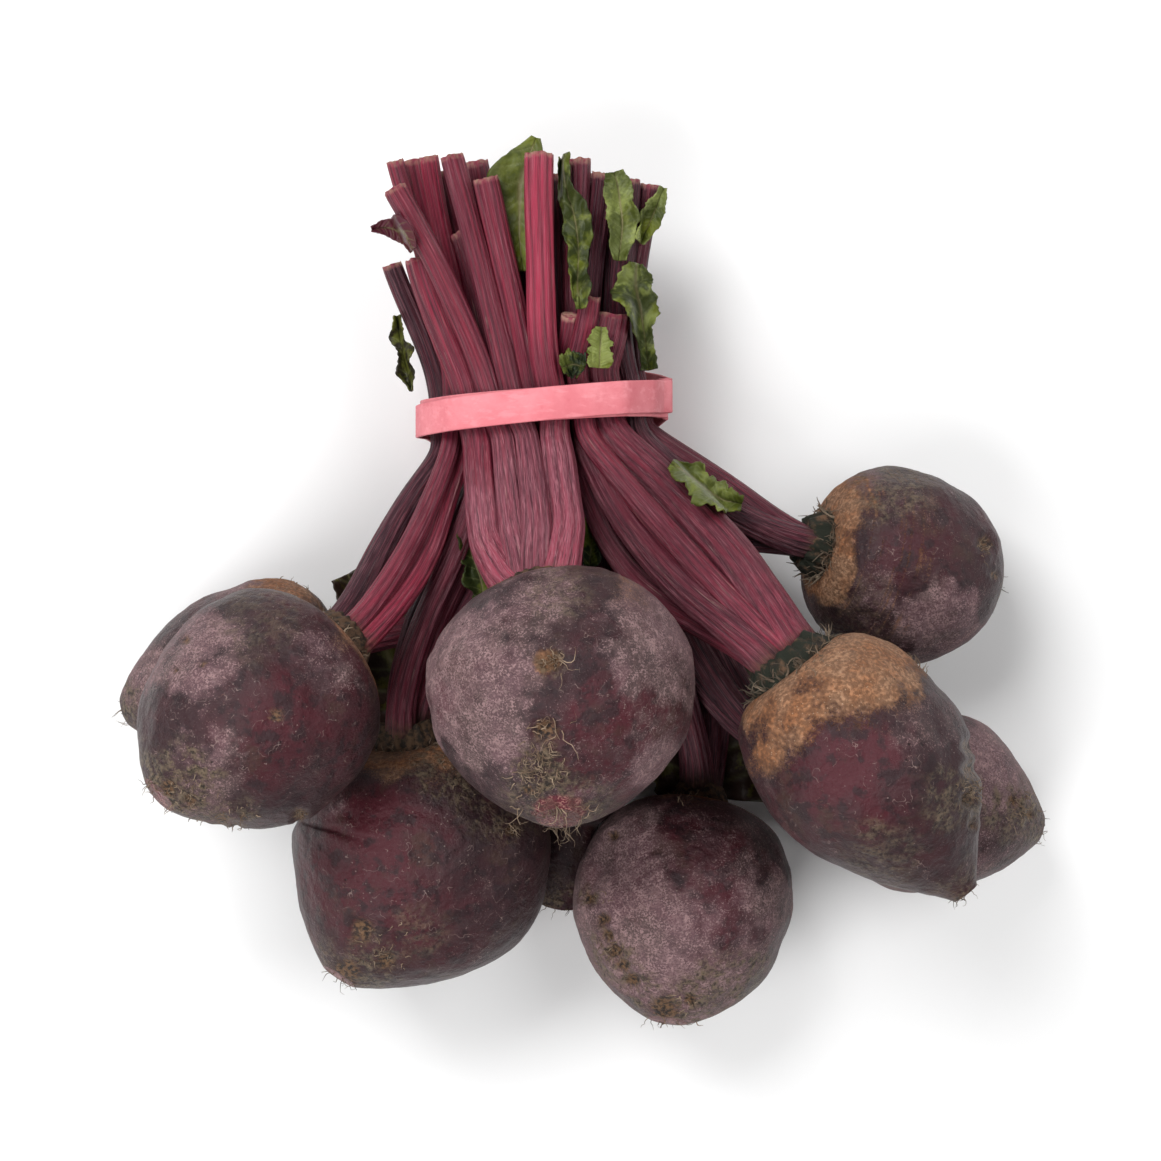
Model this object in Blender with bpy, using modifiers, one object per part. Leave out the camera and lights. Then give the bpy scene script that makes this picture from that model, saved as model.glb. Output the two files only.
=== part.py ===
"""A bunch of nine beetroots lying on a surface, their trimmed stalks held by a rubber band wound twice.

The bunch lies along Y: the roots fan out towards -Y and the cut ends of the stalks point to +Y. Sizes in this
file are in millimetres and are turned into metres where a mesh is made.
"""

import math
from collections import namedtuple

import bmesh
import bpy
import numpy as np
from mathutils import Matrix, Vector, noise

MM = 0.001
GAP = 0.35  # clear space between pieces that touch

# The middle of the bunch's footprint, which becomes the origin.
MIDDLE = (0.28, -1.07)

# Each root: its centre, the direction that its tail points in, its widest radius, how far the crown and the tip
# are from the centre, the radii of the crown's flat and of the cut tip, how sharply the tail tapers, how much of
# the tail's length the swollen body takes, and, for a root that grew bent, the direction away from its crown.
Root = namedtuple("Root", "centre axis radius crown tail crown_radius tip_radius taper body bent", defaults=(None,))
ROOTS = {
    "front_top": Root((-4.8, -31.0, 88.3), (-0.03, -0.87, 0.49), 36.3, 29.5, 37.5, 12.0, 6.0, 0.90, 1.0,
                      (0.21, -0.85, 0.46)),
    "left_top": Root((-89.2, -36.2, 84.5), (-0.68, -0.60, 0.42), 31.2, 29.5, 36.2, 11.0, 5.5, 0.90, 1.0),
    "left_low": Root((-95.5, -26.0, 25.1), (-0.94, -0.30, -0.08), 25.6, 24.0, 42.5, 9.0, 4.5, 0.90, 1.0),
    "front_left": Root((-46.2, -78.4, 37.6), (-0.52, -0.80, 0.30), 38.1, 32.5, 44.6, 10.0, 5.5, 0.92, 1.0,
                       (0.12, -0.96, -0.20)),
    "front": Root((30.7, -95.0, 31.6), (-0.15, -0.93, 0.33), 32.0, 29.5, 35.4, 9.0, 5.5, 0.82, 1.0),
    "middle": Root((3.0, -39.5, 22.4), (-0.16, -0.96, -0.235), 23.0, 21.5, 60.5, 8.0, 6.8, 0.85, 0.54),
    "right_top": Root((78.3, -50.0, 81.0), (0.61, -0.79, 0.03), 29.4, 32.0, 46.0, 13.0, 4.0, 1.25, 1.0),
    "right_low": Root((101.0, -64.5, 27.7), (0.96, -0.25, -0.10), 28.0, 25.0, 37.0, 9.0, 4.5, 1.00, 1.0),
    "right_back": Root((94.8, 4.3, 28.3), (0.93, -0.22, -0.28), 28.6, 26.0, 30.0, 10.0, 4.5, 0.60, 1.0),
}
ROOT_SIDES = 24
ROOT_RINGS = 14
LUMP = 0.030  # the roots' unevenness, as a share of their radius
FLOOR_ROOTS = ("left_low", "front_left", "front", "middle", "right_low", "right_back")

# Each stalk: its root, its radius, where it passes the band (x, height), where it is cut (x, y, height), and how
# far it bows out half-way between its root and the band.
Stalk = namedtuple("Stalk", "root radius slot top bow")
BAND_Y = 50.0
BAND_MIDDLE = (-11.5, 38.0)
BUNDLE_HALF = (32.4, 22.0)
STRAIGHT = (0.0, 0.0, 0.0)
STALKS = (
    Stalk("left_top", 3.0, (-42.0, 41.0), (-55.0, 92.0, 42.0), (-3.0, 4.0, 0.0)),
    Stalk("left_top", 2.8, (-38.0, 46.0), (-54.0, 121.5, 46.0), STRAIGHT),
    Stalk("left_top", 3.9, (-37.0, 39.0), (-49.0, 122.5, 39.0), (4.0, -4.0, 0.0)),
    Stalk("left_top", 2.8, (-33.0, 44.0), (-44.0, 123.0, 45.0), (3.0, -2.0, -3.0)),
    Stalk("front_top", 4.7, (-33.5, 50.0), (-46.0, 93.0, 50.0), STRAIGHT),
    Stalk("front_top", 3.4, (-26.5, 54.0), (-53.0, 112.0, 56.0), STRAIGHT),
    Stalk("front_top", 3.3, (-20.0, 55.5), (-37.0, 122.0, 52.0), STRAIGHT),
    Stalk("front_top", 3.8, (-14.5, 56.0), (-27.5, 115.0, 56.0), STRAIGHT),
    Stalk("front_top", 4.3, (-6.0, 58.0), (-12.0, 121.5, 60.0), STRAIGHT),
    Stalk("right_top", 3.4, (1.0, 54.0), (-0.5, 121.5, 51.0), (-3.0, -2.0, 0.0)),
    Stalk("right_top", 3.2, (6.0, 52.0), (3.0, 81.0, 58.0), STRAIGHT),
    Stalk("right_top", 5.2, (12.0, 50.0), (9.5, 76.0, 53.0), (2.0, 2.0, 0.0)),
    Stalk("right_top", 3.2, (8.0, 47.0), (6.5, 117.5, 50.0), (2.0, 2.0, -4.0)),
    Stalk("right_top", 3.0, (0.0, 50.0), (-3.0, 76.0, 56.0), (-8.0, -9.0, -9.0)),
    Stalk("right_back", 2.8, (18.4, 43.0), (20.0, 115.0, 44.0), (2.0, 3.0, 4.0)),
    Stalk("right_back", 3.2, (16.0, 46.0), (14.0, 116.0, 48.0), STRAIGHT),
    Stalk("right_back", 3.0, (18.0, 37.0), (17.0, 113.0, 38.0), (-3.0, -6.0, 0.0)),
    Stalk("right_back", 2.6, (14.5, 41.0), (11.0, 118.0, 42.0), (-5.0, -8.0, 0.0)),
    Stalk("left_low", 3.0, (-39.0, 34.0), (-47.0, 117.0, 31.5), (6.0, -8.0, 4.0)),
    Stalk("left_low", 3.2, (-33.0, 37.0), (-40.0, 120.0, 36.0), (9.0, -10.0, 4.0)),
    Stalk("left_low", 2.8, (-34.0, 30.0), (-39.0, 112.0, 27.0), (12.0, -14.0, -5.0)),
    Stalk("front_left", 3.2, (-27.0, 45.0), (-35.0, 101.0, 46.0), STRAIGHT),
    Stalk("front_left", 3.4, (-25.0, 37.0), (-30.0, 122.5, 40.0), STRAIGHT),
    Stalk("front_left", 3.2, (-26.0, 29.0), (-30.0, 116.0, 25.0), STRAIGHT),
    Stalk("front_left", 3.2, (-18.0, 33.0), (-21.0, 119.0, 31.0), (6.0, 0.0, 0.0)),
    Stalk("middle", 3.0, (-15.0, 45.0), (-24.0, 119.5, 46.0), (0.0, 0.0, 4.0)),
    Stalk("middle", 3.2, (-10.0, 38.0), (-13.5, 112.0, 38.0), (4.0, 0.0, 0.0)),
    Stalk("middle", 2.8, (-14.0, 27.0), (-17.0, 117.0, 22.0), (-4.0, 0.0, 0.0)),
    Stalk("front", 3.2, (-3.0, 44.0), (-8.0, 118.0, 44.0), (4.0, 0.0, 6.0)),
    Stalk("front", 3.4, (-1.0, 35.0), (-4.0, 114.0, 33.0), (10.0, 0.0, 3.0)),
    Stalk("front", 3.0, (-6.0, 28.0), (-8.0, 119.0, 24.0), STRAIGHT),
    Stalk("front", 3.0, (3.0, 28.0), (2.0, 116.0, 26.0), (12.0, 0.0, -4.0)),
    Stalk("right_low", 3.0, (8.0, 38.0), (5.0, 119.0, 38.0), (-2.0, -4.0, 8.0)),
    Stalk("right_low", 3.2, (10.0, 30.0), (9.0, 112.0, 30.0), (2.0, -2.0, 0.0)),
    Stalk("right_low", 2.6, (4.5, 22.0), (4.0, 108.0, 20.0), (-4.0, -8.0, -3.0)),
)
STALK_STEPS = 34  # points along a stalk while it finds its way
AT_BAND = 21  # the one that the band holds
STALK_RINGS = 11  # rings of its mesh
STALK_SIDES = 10
STALK_FLARE = 1.45  # how much wider a stalk is where it grows from the crown than at the band
BOSS_DEPTH = 6.0  # height of the crown's boss
CROWN_SPREAD = 0.95  # how near the crown's edge its outer stalks stand
LEAVE_PULL = 0.75  # how far a stalk keeps its root's direction, and then the bundle's, as shares of the way
BAND_PULL = 0.75

# The band: width and thickness of one strand, and how far the two strands wander past each other in front.
BAND_WIDTH = 9.5
BAND_THICKNESS = 1.0
BAND_STEPS = 28
BAND_TILT = 0.085
BAND_WANDER = 0.9
BAND_SLACK = 0.8  # the band stands off the stalks between the ones that it presses on

# Each leaf remnant: its midline as (x, y) points, the half width at each, the height that its blade lies at or
# None where it lies on the stalks under it, how far it waves and how often.
Leaf = namedtuple("Leaf", "midline half_widths height wave waves")
LEAF_THICKNESS = 0.7
LEAVES = {
    "leaf_big_blade": Leaf(((-16.5, 89.0), (-17.5, 98.0), (-17.5, 107.0), (-17.0, 115.5), (-12.8, 127.5)),
                           (1.4, 4.0, 6.6, 9.0, 1.2), 50.6, 0.4, 1.5),
    "leaf_wavy_strip": Leaf(((-5.2, 122.0), (-4.0, 112.0), (-1.5, 103.0), (-0.6, 94.0), (-0.8, 85.0), (0.0, 77.0)),
                            (1.6, 2.6, 3.6, 3.0, 3.0, 1.6), None, 0.9, 4.0),
    "leaf_right_blade": Leaf(((9.6, 117.0), (11.2, 110.0), (12.0, 102.0), (11.0, 92.0)),
                             (2.4, 4.4, 4.2, 1.8), None, 0.9, 2.0),
    "leaf_right_tongue": Leaf(((17.0, 97.5), (19.6, 102.5), (21.7, 107.5), (24.0, 113.5)),
                              (1.4, 2.8, 2.8, 1.0), None, 0.9, 1.5),
    "leaf_right_droop": Leaf(((16.0, 91.5), (15.8, 85.0), (17.6, 77.0), (18.8, 69.0), (20.0, 61.0)),
                             (2.4, 5.4, 4.8, 2.6, 2.2), None, 0.8, 3.0),
    "leaf_band_scrap": Leaf(((5.8, 72.0), (5.6, 67.0), (5.4, 60.5)), (1.6, 3.4, 2.6), None, 0.5, 1.5),
    "leaf_band_curl": Leaf(((-5.4, 60.4), (-2.2, 61.4), (1.2, 60.4)), (1.8, 3.4, 1.8), None, 0.6, 2.0),
    "leaf_stalk_scrap": Leaf(((25.5, 33.0), (32.0, 28.5), (39.0, 24.0), (46.5, 22.0)),
                             (2.0, 4.6, 4.8, 1.8), None, 0.9, 2.5),
    "leaf_left_scrap": Leaf(((-53.3, 77.0), (-52.5, 70.0), (-50.6, 62.0), (-49.0, 55.0)),
                            (1.0, 2.0, 2.2, 1.0), 41.0, 1.2, 2.0),
    "leaf_left_curl": Leaf(((-47.5, 94.0), (-50.5, 99.5), (-55.5, 102.0), (-60.5, 101.5)), (1.2, 2.6, 2.6, 0.7),
                           None, 0.6, 1.0),
}


def smooth_step(value, low, high):
    t = min(max((value - low) / (high - low), 0.0), 1.0)
    return t * t * (3.0 - 2.0 * t)


def unit(vector):
    vector = np.asarray(vector, float)
    return vector / np.linalg.norm(vector)


def root_frame(root, w):
    """The root's own direction at w, from -1 at the crown to 1 at the tip, and two directions across it."""
    turned = smooth_step(w, -0.95, 0.95)
    along = unit(unit(root.bent or root.axis) * (1.0 - turned) + unit(root.axis) * turned)
    across = unit(np.cross(along, (0.0, 0.0, 1.0)))
    return along, across, np.cross(along, across)


def root_profile(root, w):
    """How far along the axis and how wide the root is at w, from -1 at the crown to 1 at the tip."""
    if w <= 0.0:
        wide = root.crown_radius + (root.radius - root.crown_radius) * (1.0 - (-w) ** 2.3) ** (1 / 2.1)
        return w * root.crown, wide
    neck = root.tip_radius * (1.0 + 0.5 * (1.0 - w))
    swell = max(1.0 - (w / root.body) ** 2, 0.0) ** root.taper
    return w * root.tail, neck + (root.radius - neck) * swell


def root_mesh(name, root, sides, rings, lump):
    """A ball whose rings follow the root's profile, with flat ends for the crown and the cut tip."""
    bm = bmesh.new()
    bmesh.ops.create_uvsphere(bm, u_segments=sides, v_segments=rings, radius=1.0)
    edge = math.cos(math.pi / rings)
    seed = Vector(root.centre) * 0.37
    for vert in bm.verts:
        turn = math.atan2(vert.co.y, vert.co.x)
        w = max(-1.0, min(1.0, -vert.co.z / edge))
        length, wide = root_profile(root, w)
        along, across, up = root_frame(root, w)
        if abs(vert.co.z) > edge + 1e-4:
            wide = 0.0
        calm = 1.0 - abs(w) ** 6
        round_point = Vector((math.cos(turn), math.sin(turn), w * 1.3))
        uneven = 2.2 * noise.noise(round_point * 1.1 + seed) + noise.noise(round_point * 2.6 + seed)
        wide *= 1.0 + lump * calm * uneven
        point = (np.array(root.centre) + along * length
                 + across * wide * math.cos(turn) + up * wide * math.sin(turn))
        vert.co = Vector(point)
    if name in FLOOR_ROOTS:
        whole = list(bm.verts) + list(bm.edges) + list(bm.faces)
        bmesh.ops.bisect_plane(bm, geom=whole, dist=1e-4, plane_co=(0, 0, 0), plane_no=(0, 0, -1), clear_outer=True)
        bmesh.ops.holes_fill(bm, edges=[e for e in bm.edges if e.is_boundary], sides=0)
    bmesh.ops.recalc_face_normals(bm, faces=bm.faces)
    return bm


def hermite(start, start_pull, end, end_pull, count):
    t = np.linspace(0.0, 1.0, count)[:, None]
    return ((2 * t**3 - 3 * t**2 + 1) * start + (t**3 - 2 * t**2 + t) * start_pull
            + (3 * t**2 - 2 * t**3) * end + (t**3 - t**2) * end_pull)


def band_centre_y(x):
    return BAND_Y + BAND_TILT * (x - BAND_MIDDLE[0])


def first_routes():
    """Every stalk's route from its crown through the band to its cut end, before they make room for each other."""
    routes = []
    for stalk in STALKS:
        root = ROOTS[stalk.root]
        along, across, up = root_frame(root, -1.0)
        crown = np.array(root.centre) - along * (root.crown + GAP)
        mates = [s for s in STALKS if s.root == stalk.root]
        spread = np.array(stalk.slot) - np.mean([s.slot for s in mates], axis=0)
        reach = max(np.linalg.norm(np.array(s.slot) - np.mean([m.slot for m in mates], axis=0)) for s in mates)
        offset = np.array((spread[0], 0.0, spread[1]))
        offset = offset - along * offset.dot(along)
        offset *= (root.crown_radius - stalk.radius * STALK_FLARE) * CROWN_SPREAD / max(reach, 1.0)
        start = crown + offset - along * BOSS_DEPTH / 2
        slot = np.array((stalk.slot[0], band_centre_y(stalk.slot[0]), stalk.slot[1]))
        top = np.array(stalk.top)
        span = np.linalg.norm(slot - start)
        flow = unit(unit(top - slot) + unit(slot - start))
        below = hermite(start, -along * span * LEAVE_PULL, slot, flow * span * BAND_PULL, AT_BAND + 1)
        below += np.array(stalk.bow) * np.sin(np.linspace(0.0, math.pi, AT_BAND + 1))[:, None] ** 2
        above = hermite(slot, flow * np.linalg.norm(top - slot), top, unit(top - slot) * 40.0, STALK_STEPS - AT_BAND)
        routes.append(np.vstack((below, above[1:])))
    return np.array(routes)


def flared_radii():
    """Each stalk's radius at every step: widest at the crown, its own at the band and above."""
    radii = np.array([s.radius for s in STALKS])
    left = np.clip(1.0 - np.arange(STALK_STEPS) / AT_BAND, 0.0, 1.0)
    return radii[:, None] * (1.0 + (STALK_FLARE - 1.0) * left[None, :] ** 1.2)


def root_balls():
    """Balls that stand for the roots while the stalks find their way."""
    balls = []
    for name, root in ROOTS.items():
        for w in (-0.35, 0.0, 0.4, 0.75):
            length, wide = root_profile(root, w)
            along, across, up = root_frame(root, w)
            wide = min(wide, root.crown + length) if w < 0 else wide
            balls.append((name, np.array(root.centre) + along * length, wide * (1.0 + LUMP)))
    return balls


def settle(routes):
    """Moves the routes until no stalk runs through another, a root or the surface, and the bundle fits its band."""
    count, steps, _ = routes.shape
    radii = np.array([s.radius for s in STALKS])
    group = np.array([list(ROOTS).index(s.root) for s in STALKS])
    owner = np.repeat(np.arange(count), steps)
    order = np.tile(np.arange(steps), count)
    size = flared_radii().reshape(-1)
    first = routes.copy()
    balls = root_balls()
    slots = np.array([s.slot for s in STALKS])
    for turn in range(360):
        flat = routes.reshape(-1, 3)
        if turn % 6 == 0:
            away = flat[:, None, :] - flat[None, :, :]
            near = (away**2).sum(axis=2) < 16.0**2
            near &= owner[:, None] < owner[None, :]
            one, two = np.nonzero(near)
            same = group[owner[one]] == group[owner[two]]
            early = np.minimum(order[one], order[two]) < 7
            room = np.where(same, np.where(early, 0.45, 0.92), 1.0)
            wanted = (size[one] + size[two]) * room + np.where(same, 0.0, 1.2)
        apart = flat[one] - flat[two]
        distance = np.maximum(np.linalg.norm(apart, axis=1), 1e-6)
        push = np.maximum(wanted - distance, 0.0) / distance * 0.42
        move = np.zeros_like(flat)
        hits = np.zeros(len(flat))
        np.add.at(move, one, apart * push[:, None])
        np.add.at(move, two, -apart * push[:, None])
        np.add.at(hits, one, push > 0)
        np.add.at(hits, two, push > 0)
        flat = flat + move / np.maximum(hits, 1.0)[:, None] * np.minimum(hits, 2.0)[:, None]
        for name, centre, wide in balls:
            own = np.array([s.root == name for s in STALKS])[owner] & (order < 9)
            out = flat - centre
            far = np.maximum(np.linalg.norm(out, axis=1), 1e-6)
            short = np.where(own, 0.0, np.maximum(wide + size + 1.2 - far, 0.0))
            flat += out / far[:, None] * short[:, None] * 0.6
        flat[:, 2] = np.maximum(flat[:, 2], size + 0.4)
        routes = flat.reshape(count, steps, 3)
        # The band squeezes the stalks into its oval.
        half = np.array(BUNDLE_HALF)[None, None, :] - radii[:, None, None] * 0.85
        middle = np.array(BAND_MIDDLE)
        across = (routes[:, :, [0, 2]] - middle) / half
        outside = np.maximum(np.linalg.norm(across, axis=2), 1.0)
        under = np.abs(routes[:, :, 1] - band_centre_y(routes[:, :, 0])) < BAND_WIDTH + 1.5
        outside = np.where(under, outside, 1.0)[:, :, None]
        routes[:, :, [0, 2]] = middle + (routes[:, :, [0, 2]] - middle) / outside
        held = routes[:, AT_BAND, :]
        held[:, [0, 2]] += 0.04 * (slots - held[:, [0, 2]])
        held[:, 1] = band_centre_y(held[:, 0])
        if turn < 330:
            bend = routes - first
            routes[:, 1:-1] += ((bend[:, :-2] + bend[:, 2:]) / 2.0 - bend[:, 1:-1]) * 0.45
        routes[:, :2] = first[:, :2]
        routes[:, -1] += 0.1 * (first[:, -1] - routes[:, -1])
    return routes


def slim_radii(routes):
    """Each stalk's radius along its route, pressed slimmer wherever a stalk of another root touches it."""
    count, steps, _ = routes.shape
    group = np.array([list(ROOTS).index(s.root) for s in STALKS])
    wide = flared_radii()
    slim = wide.copy()
    for a in range(count):
        for b in range(count):
            if group[a] == group[b]:
                continue
            start = routes[b, :-1][None, :, :]
            run = routes[b, 1:][None, :, :] - start
            out = routes[a][:, None, :] - start
            t = np.clip((out * run).sum(axis=2) / np.maximum((run * run).sum(axis=2), 1e-9), 0.0, 1.0)
            distance = np.linalg.norm(out - run * t[:, :, None], axis=2)
            nearest = distance.argmin(axis=1)
            least = distance.min(axis=1)
            share = wide[a] / (wide[a] + wide[b][nearest])
            slim[a] = np.minimum(slim[a], (least - GAP) * share)
    padded = np.pad(slim, ((0, 0), (1, 1)), mode="edge")
    slim = np.minimum(slim, np.minimum(padded[:, :-2], padded[:, 2:]))
    return np.maximum(slim, 0.8)


def resample(points, count):
    """Points evenly spaced along a polyline, with the values that come with each."""
    lengths = np.concatenate(([0.0], np.cumsum(np.linalg.norm(np.diff(points[:, :3], axis=0), axis=1))))
    at = np.linspace(0.0, lengths[-1], count)
    return np.stack([np.interp(at, lengths, points[:, k]) for k in range(points.shape[1])], axis=1)


def tube_mesh(points, section):
    """A closed tube through points; section gives its outline at a place from 0 to 1 as (across, up) pairs."""
    bm = bmesh.new()
    rings = []
    side = None
    for index, point in enumerate(points):
        ahead = points[min(index + 1, len(points) - 1)] - points[max(index - 1, 0)]
        along = unit(ahead)
        if side is None:
            side = unit(np.cross(along, (0.0, 0.0, 1.0)))
        side = unit(side - along * side.dot(along))
        up = np.cross(side, along)
        outline = section(index / (len(points) - 1))
        rings.append([bm.verts.new(Vector(point + side * x + up * y)) for x, y in outline])
    for ring, following in zip(rings, rings[1:]):
        for k in range(len(ring)):
            nearby = (k + 1) % len(ring)
            bm.faces.new((ring[k], ring[nearby], following[nearby], following[k]))
    bm.faces.new(rings[0])
    bm.faces.new(rings[-1])
    bmesh.ops.recalc_face_normals(bm, faces=bm.faces)
    return bm


def ribbed(radius, sides):
    """A round outline whose every second corner is drawn in, which gives the stalk its ribs."""
    outline = []
    for k in range(sides):
        turn = math.tau * k / sides
        wide = radius * (1.0 if k % 2 == 0 else 0.9)
        outline.append((wide * math.cos(turn), wide * math.sin(turn)))
    return outline


def stalk_mesh(route, radii):
    line = resample(np.column_stack((route, radii)), STALK_RINGS)
    spots = np.linspace(0.0, 1.0, STALK_RINGS)
    return tube_mesh(line[:, :3], lambda t: ribbed(np.interp(t, spots, line[:, 3]), STALK_SIDES))


def boss_mesh(root):
    """The crown's boss: a low cone on the root's flat crown that the stalks grow from."""
    bm = bmesh.new()
    bmesh.ops.create_cone(bm, cap_ends=True, segments=14, radius1=root.crown_radius * 0.72,
                          radius2=root.crown_radius * 0.97, depth=BOSS_DEPTH)
    along, across, up = root_frame(root, -1.0)
    centre = np.array(root.centre) - along * (root.crown + GAP + BOSS_DEPTH / 2)
    turn = Matrix((across, up, along)).transposed().to_4x4()
    bmesh.ops.transform(bm, matrix=Matrix.Translation(Vector(centre)) @ turn, verts=bm.verts)
    bmesh.ops.recalc_face_normals(bm, faces=bm.faces)
    return bm


def material(name, colour, roughness):
    made = bpy.data.materials.new(name)
    made.use_nodes = True
    shader = made.node_tree.nodes["Principled BSDF"]
    shader.inputs["Base Color"].default_value = (*colour, 1.0)
    shader.inputs["Roughness"].default_value = roughness
    shader.inputs["Metallic"].default_value = 0.0
    return made


def add(name, bm, collection, paint):
    """A mesh in millimetres about the bunch's own middle, made an object in metres."""
    bmesh.ops.translate(bm, verts=bm.verts, vec=Vector((-MIDDLE[0], -MIDDLE[1], 0.0)))
    bmesh.ops.scale(bm, verts=bm.verts, vec=Vector((MM, MM, MM)))
    mesh = bpy.data.meshes.new(name)
    bm.to_mesh(mesh)
    bm.free()
    if paint:
        mesh.materials.append(paint)
    made = bpy.data.objects.new(name, mesh)
    collection.objects.link(made)
    return made


def fuse(name, meshes, collection, paint):
    """One solid from meshes that overlap, by a union on a collection that is then emptied."""
    loose = bpy.data.collections.new(name + "_pieces")
    bpy.context.scene.collection.children.link(loose)
    first = add(name, meshes[0], collection, paint)
    for index, bm in enumerate(meshes[1:]):
        add(f"{name}_{index}", bm, loose, None)
    union = first.modifiers.new("Union", "BOOLEAN")
    union.operation = "UNION"
    union.operand_type = "COLLECTION"
    union.collection = loose
    union.solver = "EXACT"
    union.use_self = False
    bpy.context.view_layer.update()
    joined = bpy.data.meshes.new_from_object(first.evaluated_get(bpy.context.evaluated_depsgraph_get()))
    first.modifiers.clear()
    first.data = joined
    for piece in list(loose.objects):
        bpy.data.objects.remove(piece)
    bpy.data.collections.remove(loose)
    return first


def strand_place(turns):
    """Where the strand is after some turns: its lift off the bundle and its shift along the stalks."""
    phase = (turns * math.pi + math.pi) % math.tau - math.pi
    to_front = min(abs(phase), math.pi - abs(phase))
    side = 1.0 if phase > 0 else -1.0
    apart = (BAND_WIDTH + 0.7) / 2
    shift = BAND_WANDER * min(to_front / 0.9, 1.0)
    shift += (apart - BAND_WANDER) * smooth_step(to_front, 0.85, 1.2)
    lift = 0.0
    if abs(phase) < math.pi / 2:
        lift = (BAND_THICKNESS + GAP) * (1.0 - smooth_step(to_front, 1.2, 1.5))
    return lift, side * shift


def hull_at_band(routes, radii):
    """The bundle's outline under the band, which is wider behind, where its two strands lie side by side."""
    circles = []
    for route, wide in zip(routes, radii):
        line = resample(np.column_stack((route, wide)), 400)
        circles.append(line[np.abs(line[:, 1] - band_centre_y(line[:, 0])) < BAND_WIDTH + 1.5])
    circles = np.vstack(circles)
    past = np.abs(circles[:, 1] - band_centre_y(circles[:, 0]))
    outline = []
    for degrees in np.arange(0.0, 360.0, 0.5):
        out = np.array((math.sin(math.radians(degrees)), math.cos(math.radians(degrees))))
        from_front = min(degrees, 360.0 - degrees)
        half = BAND_WIDTH / 2 + BAND_WANDER + 0.4 + smooth_step(from_front, 70.0, 120.0) * BAND_WIDTH / 2
        reach = circles[:, 0] * out[0] + circles[:, 2] * out[1] + circles[:, 3]
        best = circles[np.where(past < half, reach, -1e9).argmax()]
        outline.append(best[[0, 2]] + out * (best[3] + GAP + BAND_SLACK))
    outline.append(outline[0])
    return resample(np.column_stack((outline, np.zeros(len(outline)))), 721)[:, :2]


def band_mesh(outline):
    """One closed strand wound twice, the second turn on top of the first in front and beside it behind."""
    bm = bmesh.new()
    corner = 0.22
    half_width = BAND_WIDTH / 2
    half_thick = BAND_THICKNESS / 2
    section = ((-half_width, -half_thick + corner), (-half_width, half_thick - corner),
               (-half_width + corner, half_thick), (half_width - corner, half_thick),
               (half_width, half_thick - corner), (half_width, -half_thick + corner),
               (half_width - corner, -half_thick), (-half_width + corner, -half_thick))
    rings = []
    count = len(outline) - 1
    for step in range(BAND_STEPS * 2):
        turns = step / BAND_STEPS
        spot = turns % 1.0 * count
        low = int(spot)
        here = outline[low] + (outline[low + 1] - outline[low]) * (spot - low)
        before = outline[(low - 12) % count]
        after = outline[(low + 13) % count]
        along = (after - before) / np.linalg.norm(after - before)
        out = np.array((-along[1], along[0]))
        lift, shift = strand_place(turns)
        ring = []
        for wide, thick in section:
            flat = here + out * (lift + BAND_THICKNESS / 2 + thick)
            ring.append(bm.verts.new((flat[0], band_centre_y(here[0]) + shift + wide, flat[1])))
        rings.append(ring)
    for ring, following in zip(rings, rings[1:] + rings[:1]):
        for k in range(len(section)):
            nearby = (k + 1) % len(section)
            bm.faces.new((ring[k], ring[nearby], following[nearby], following[k]))
    bmesh.ops.recalc_face_normals(bm, faces=bm.faces)
    return bm


def stalk_tops(routes, radii):
    """Points along every stalk, with its radius, close enough together to lay a blade over them."""
    return np.vstack([resample(np.column_stack((route, wide)), 260) for route, wide in zip(routes, radii)])


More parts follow.
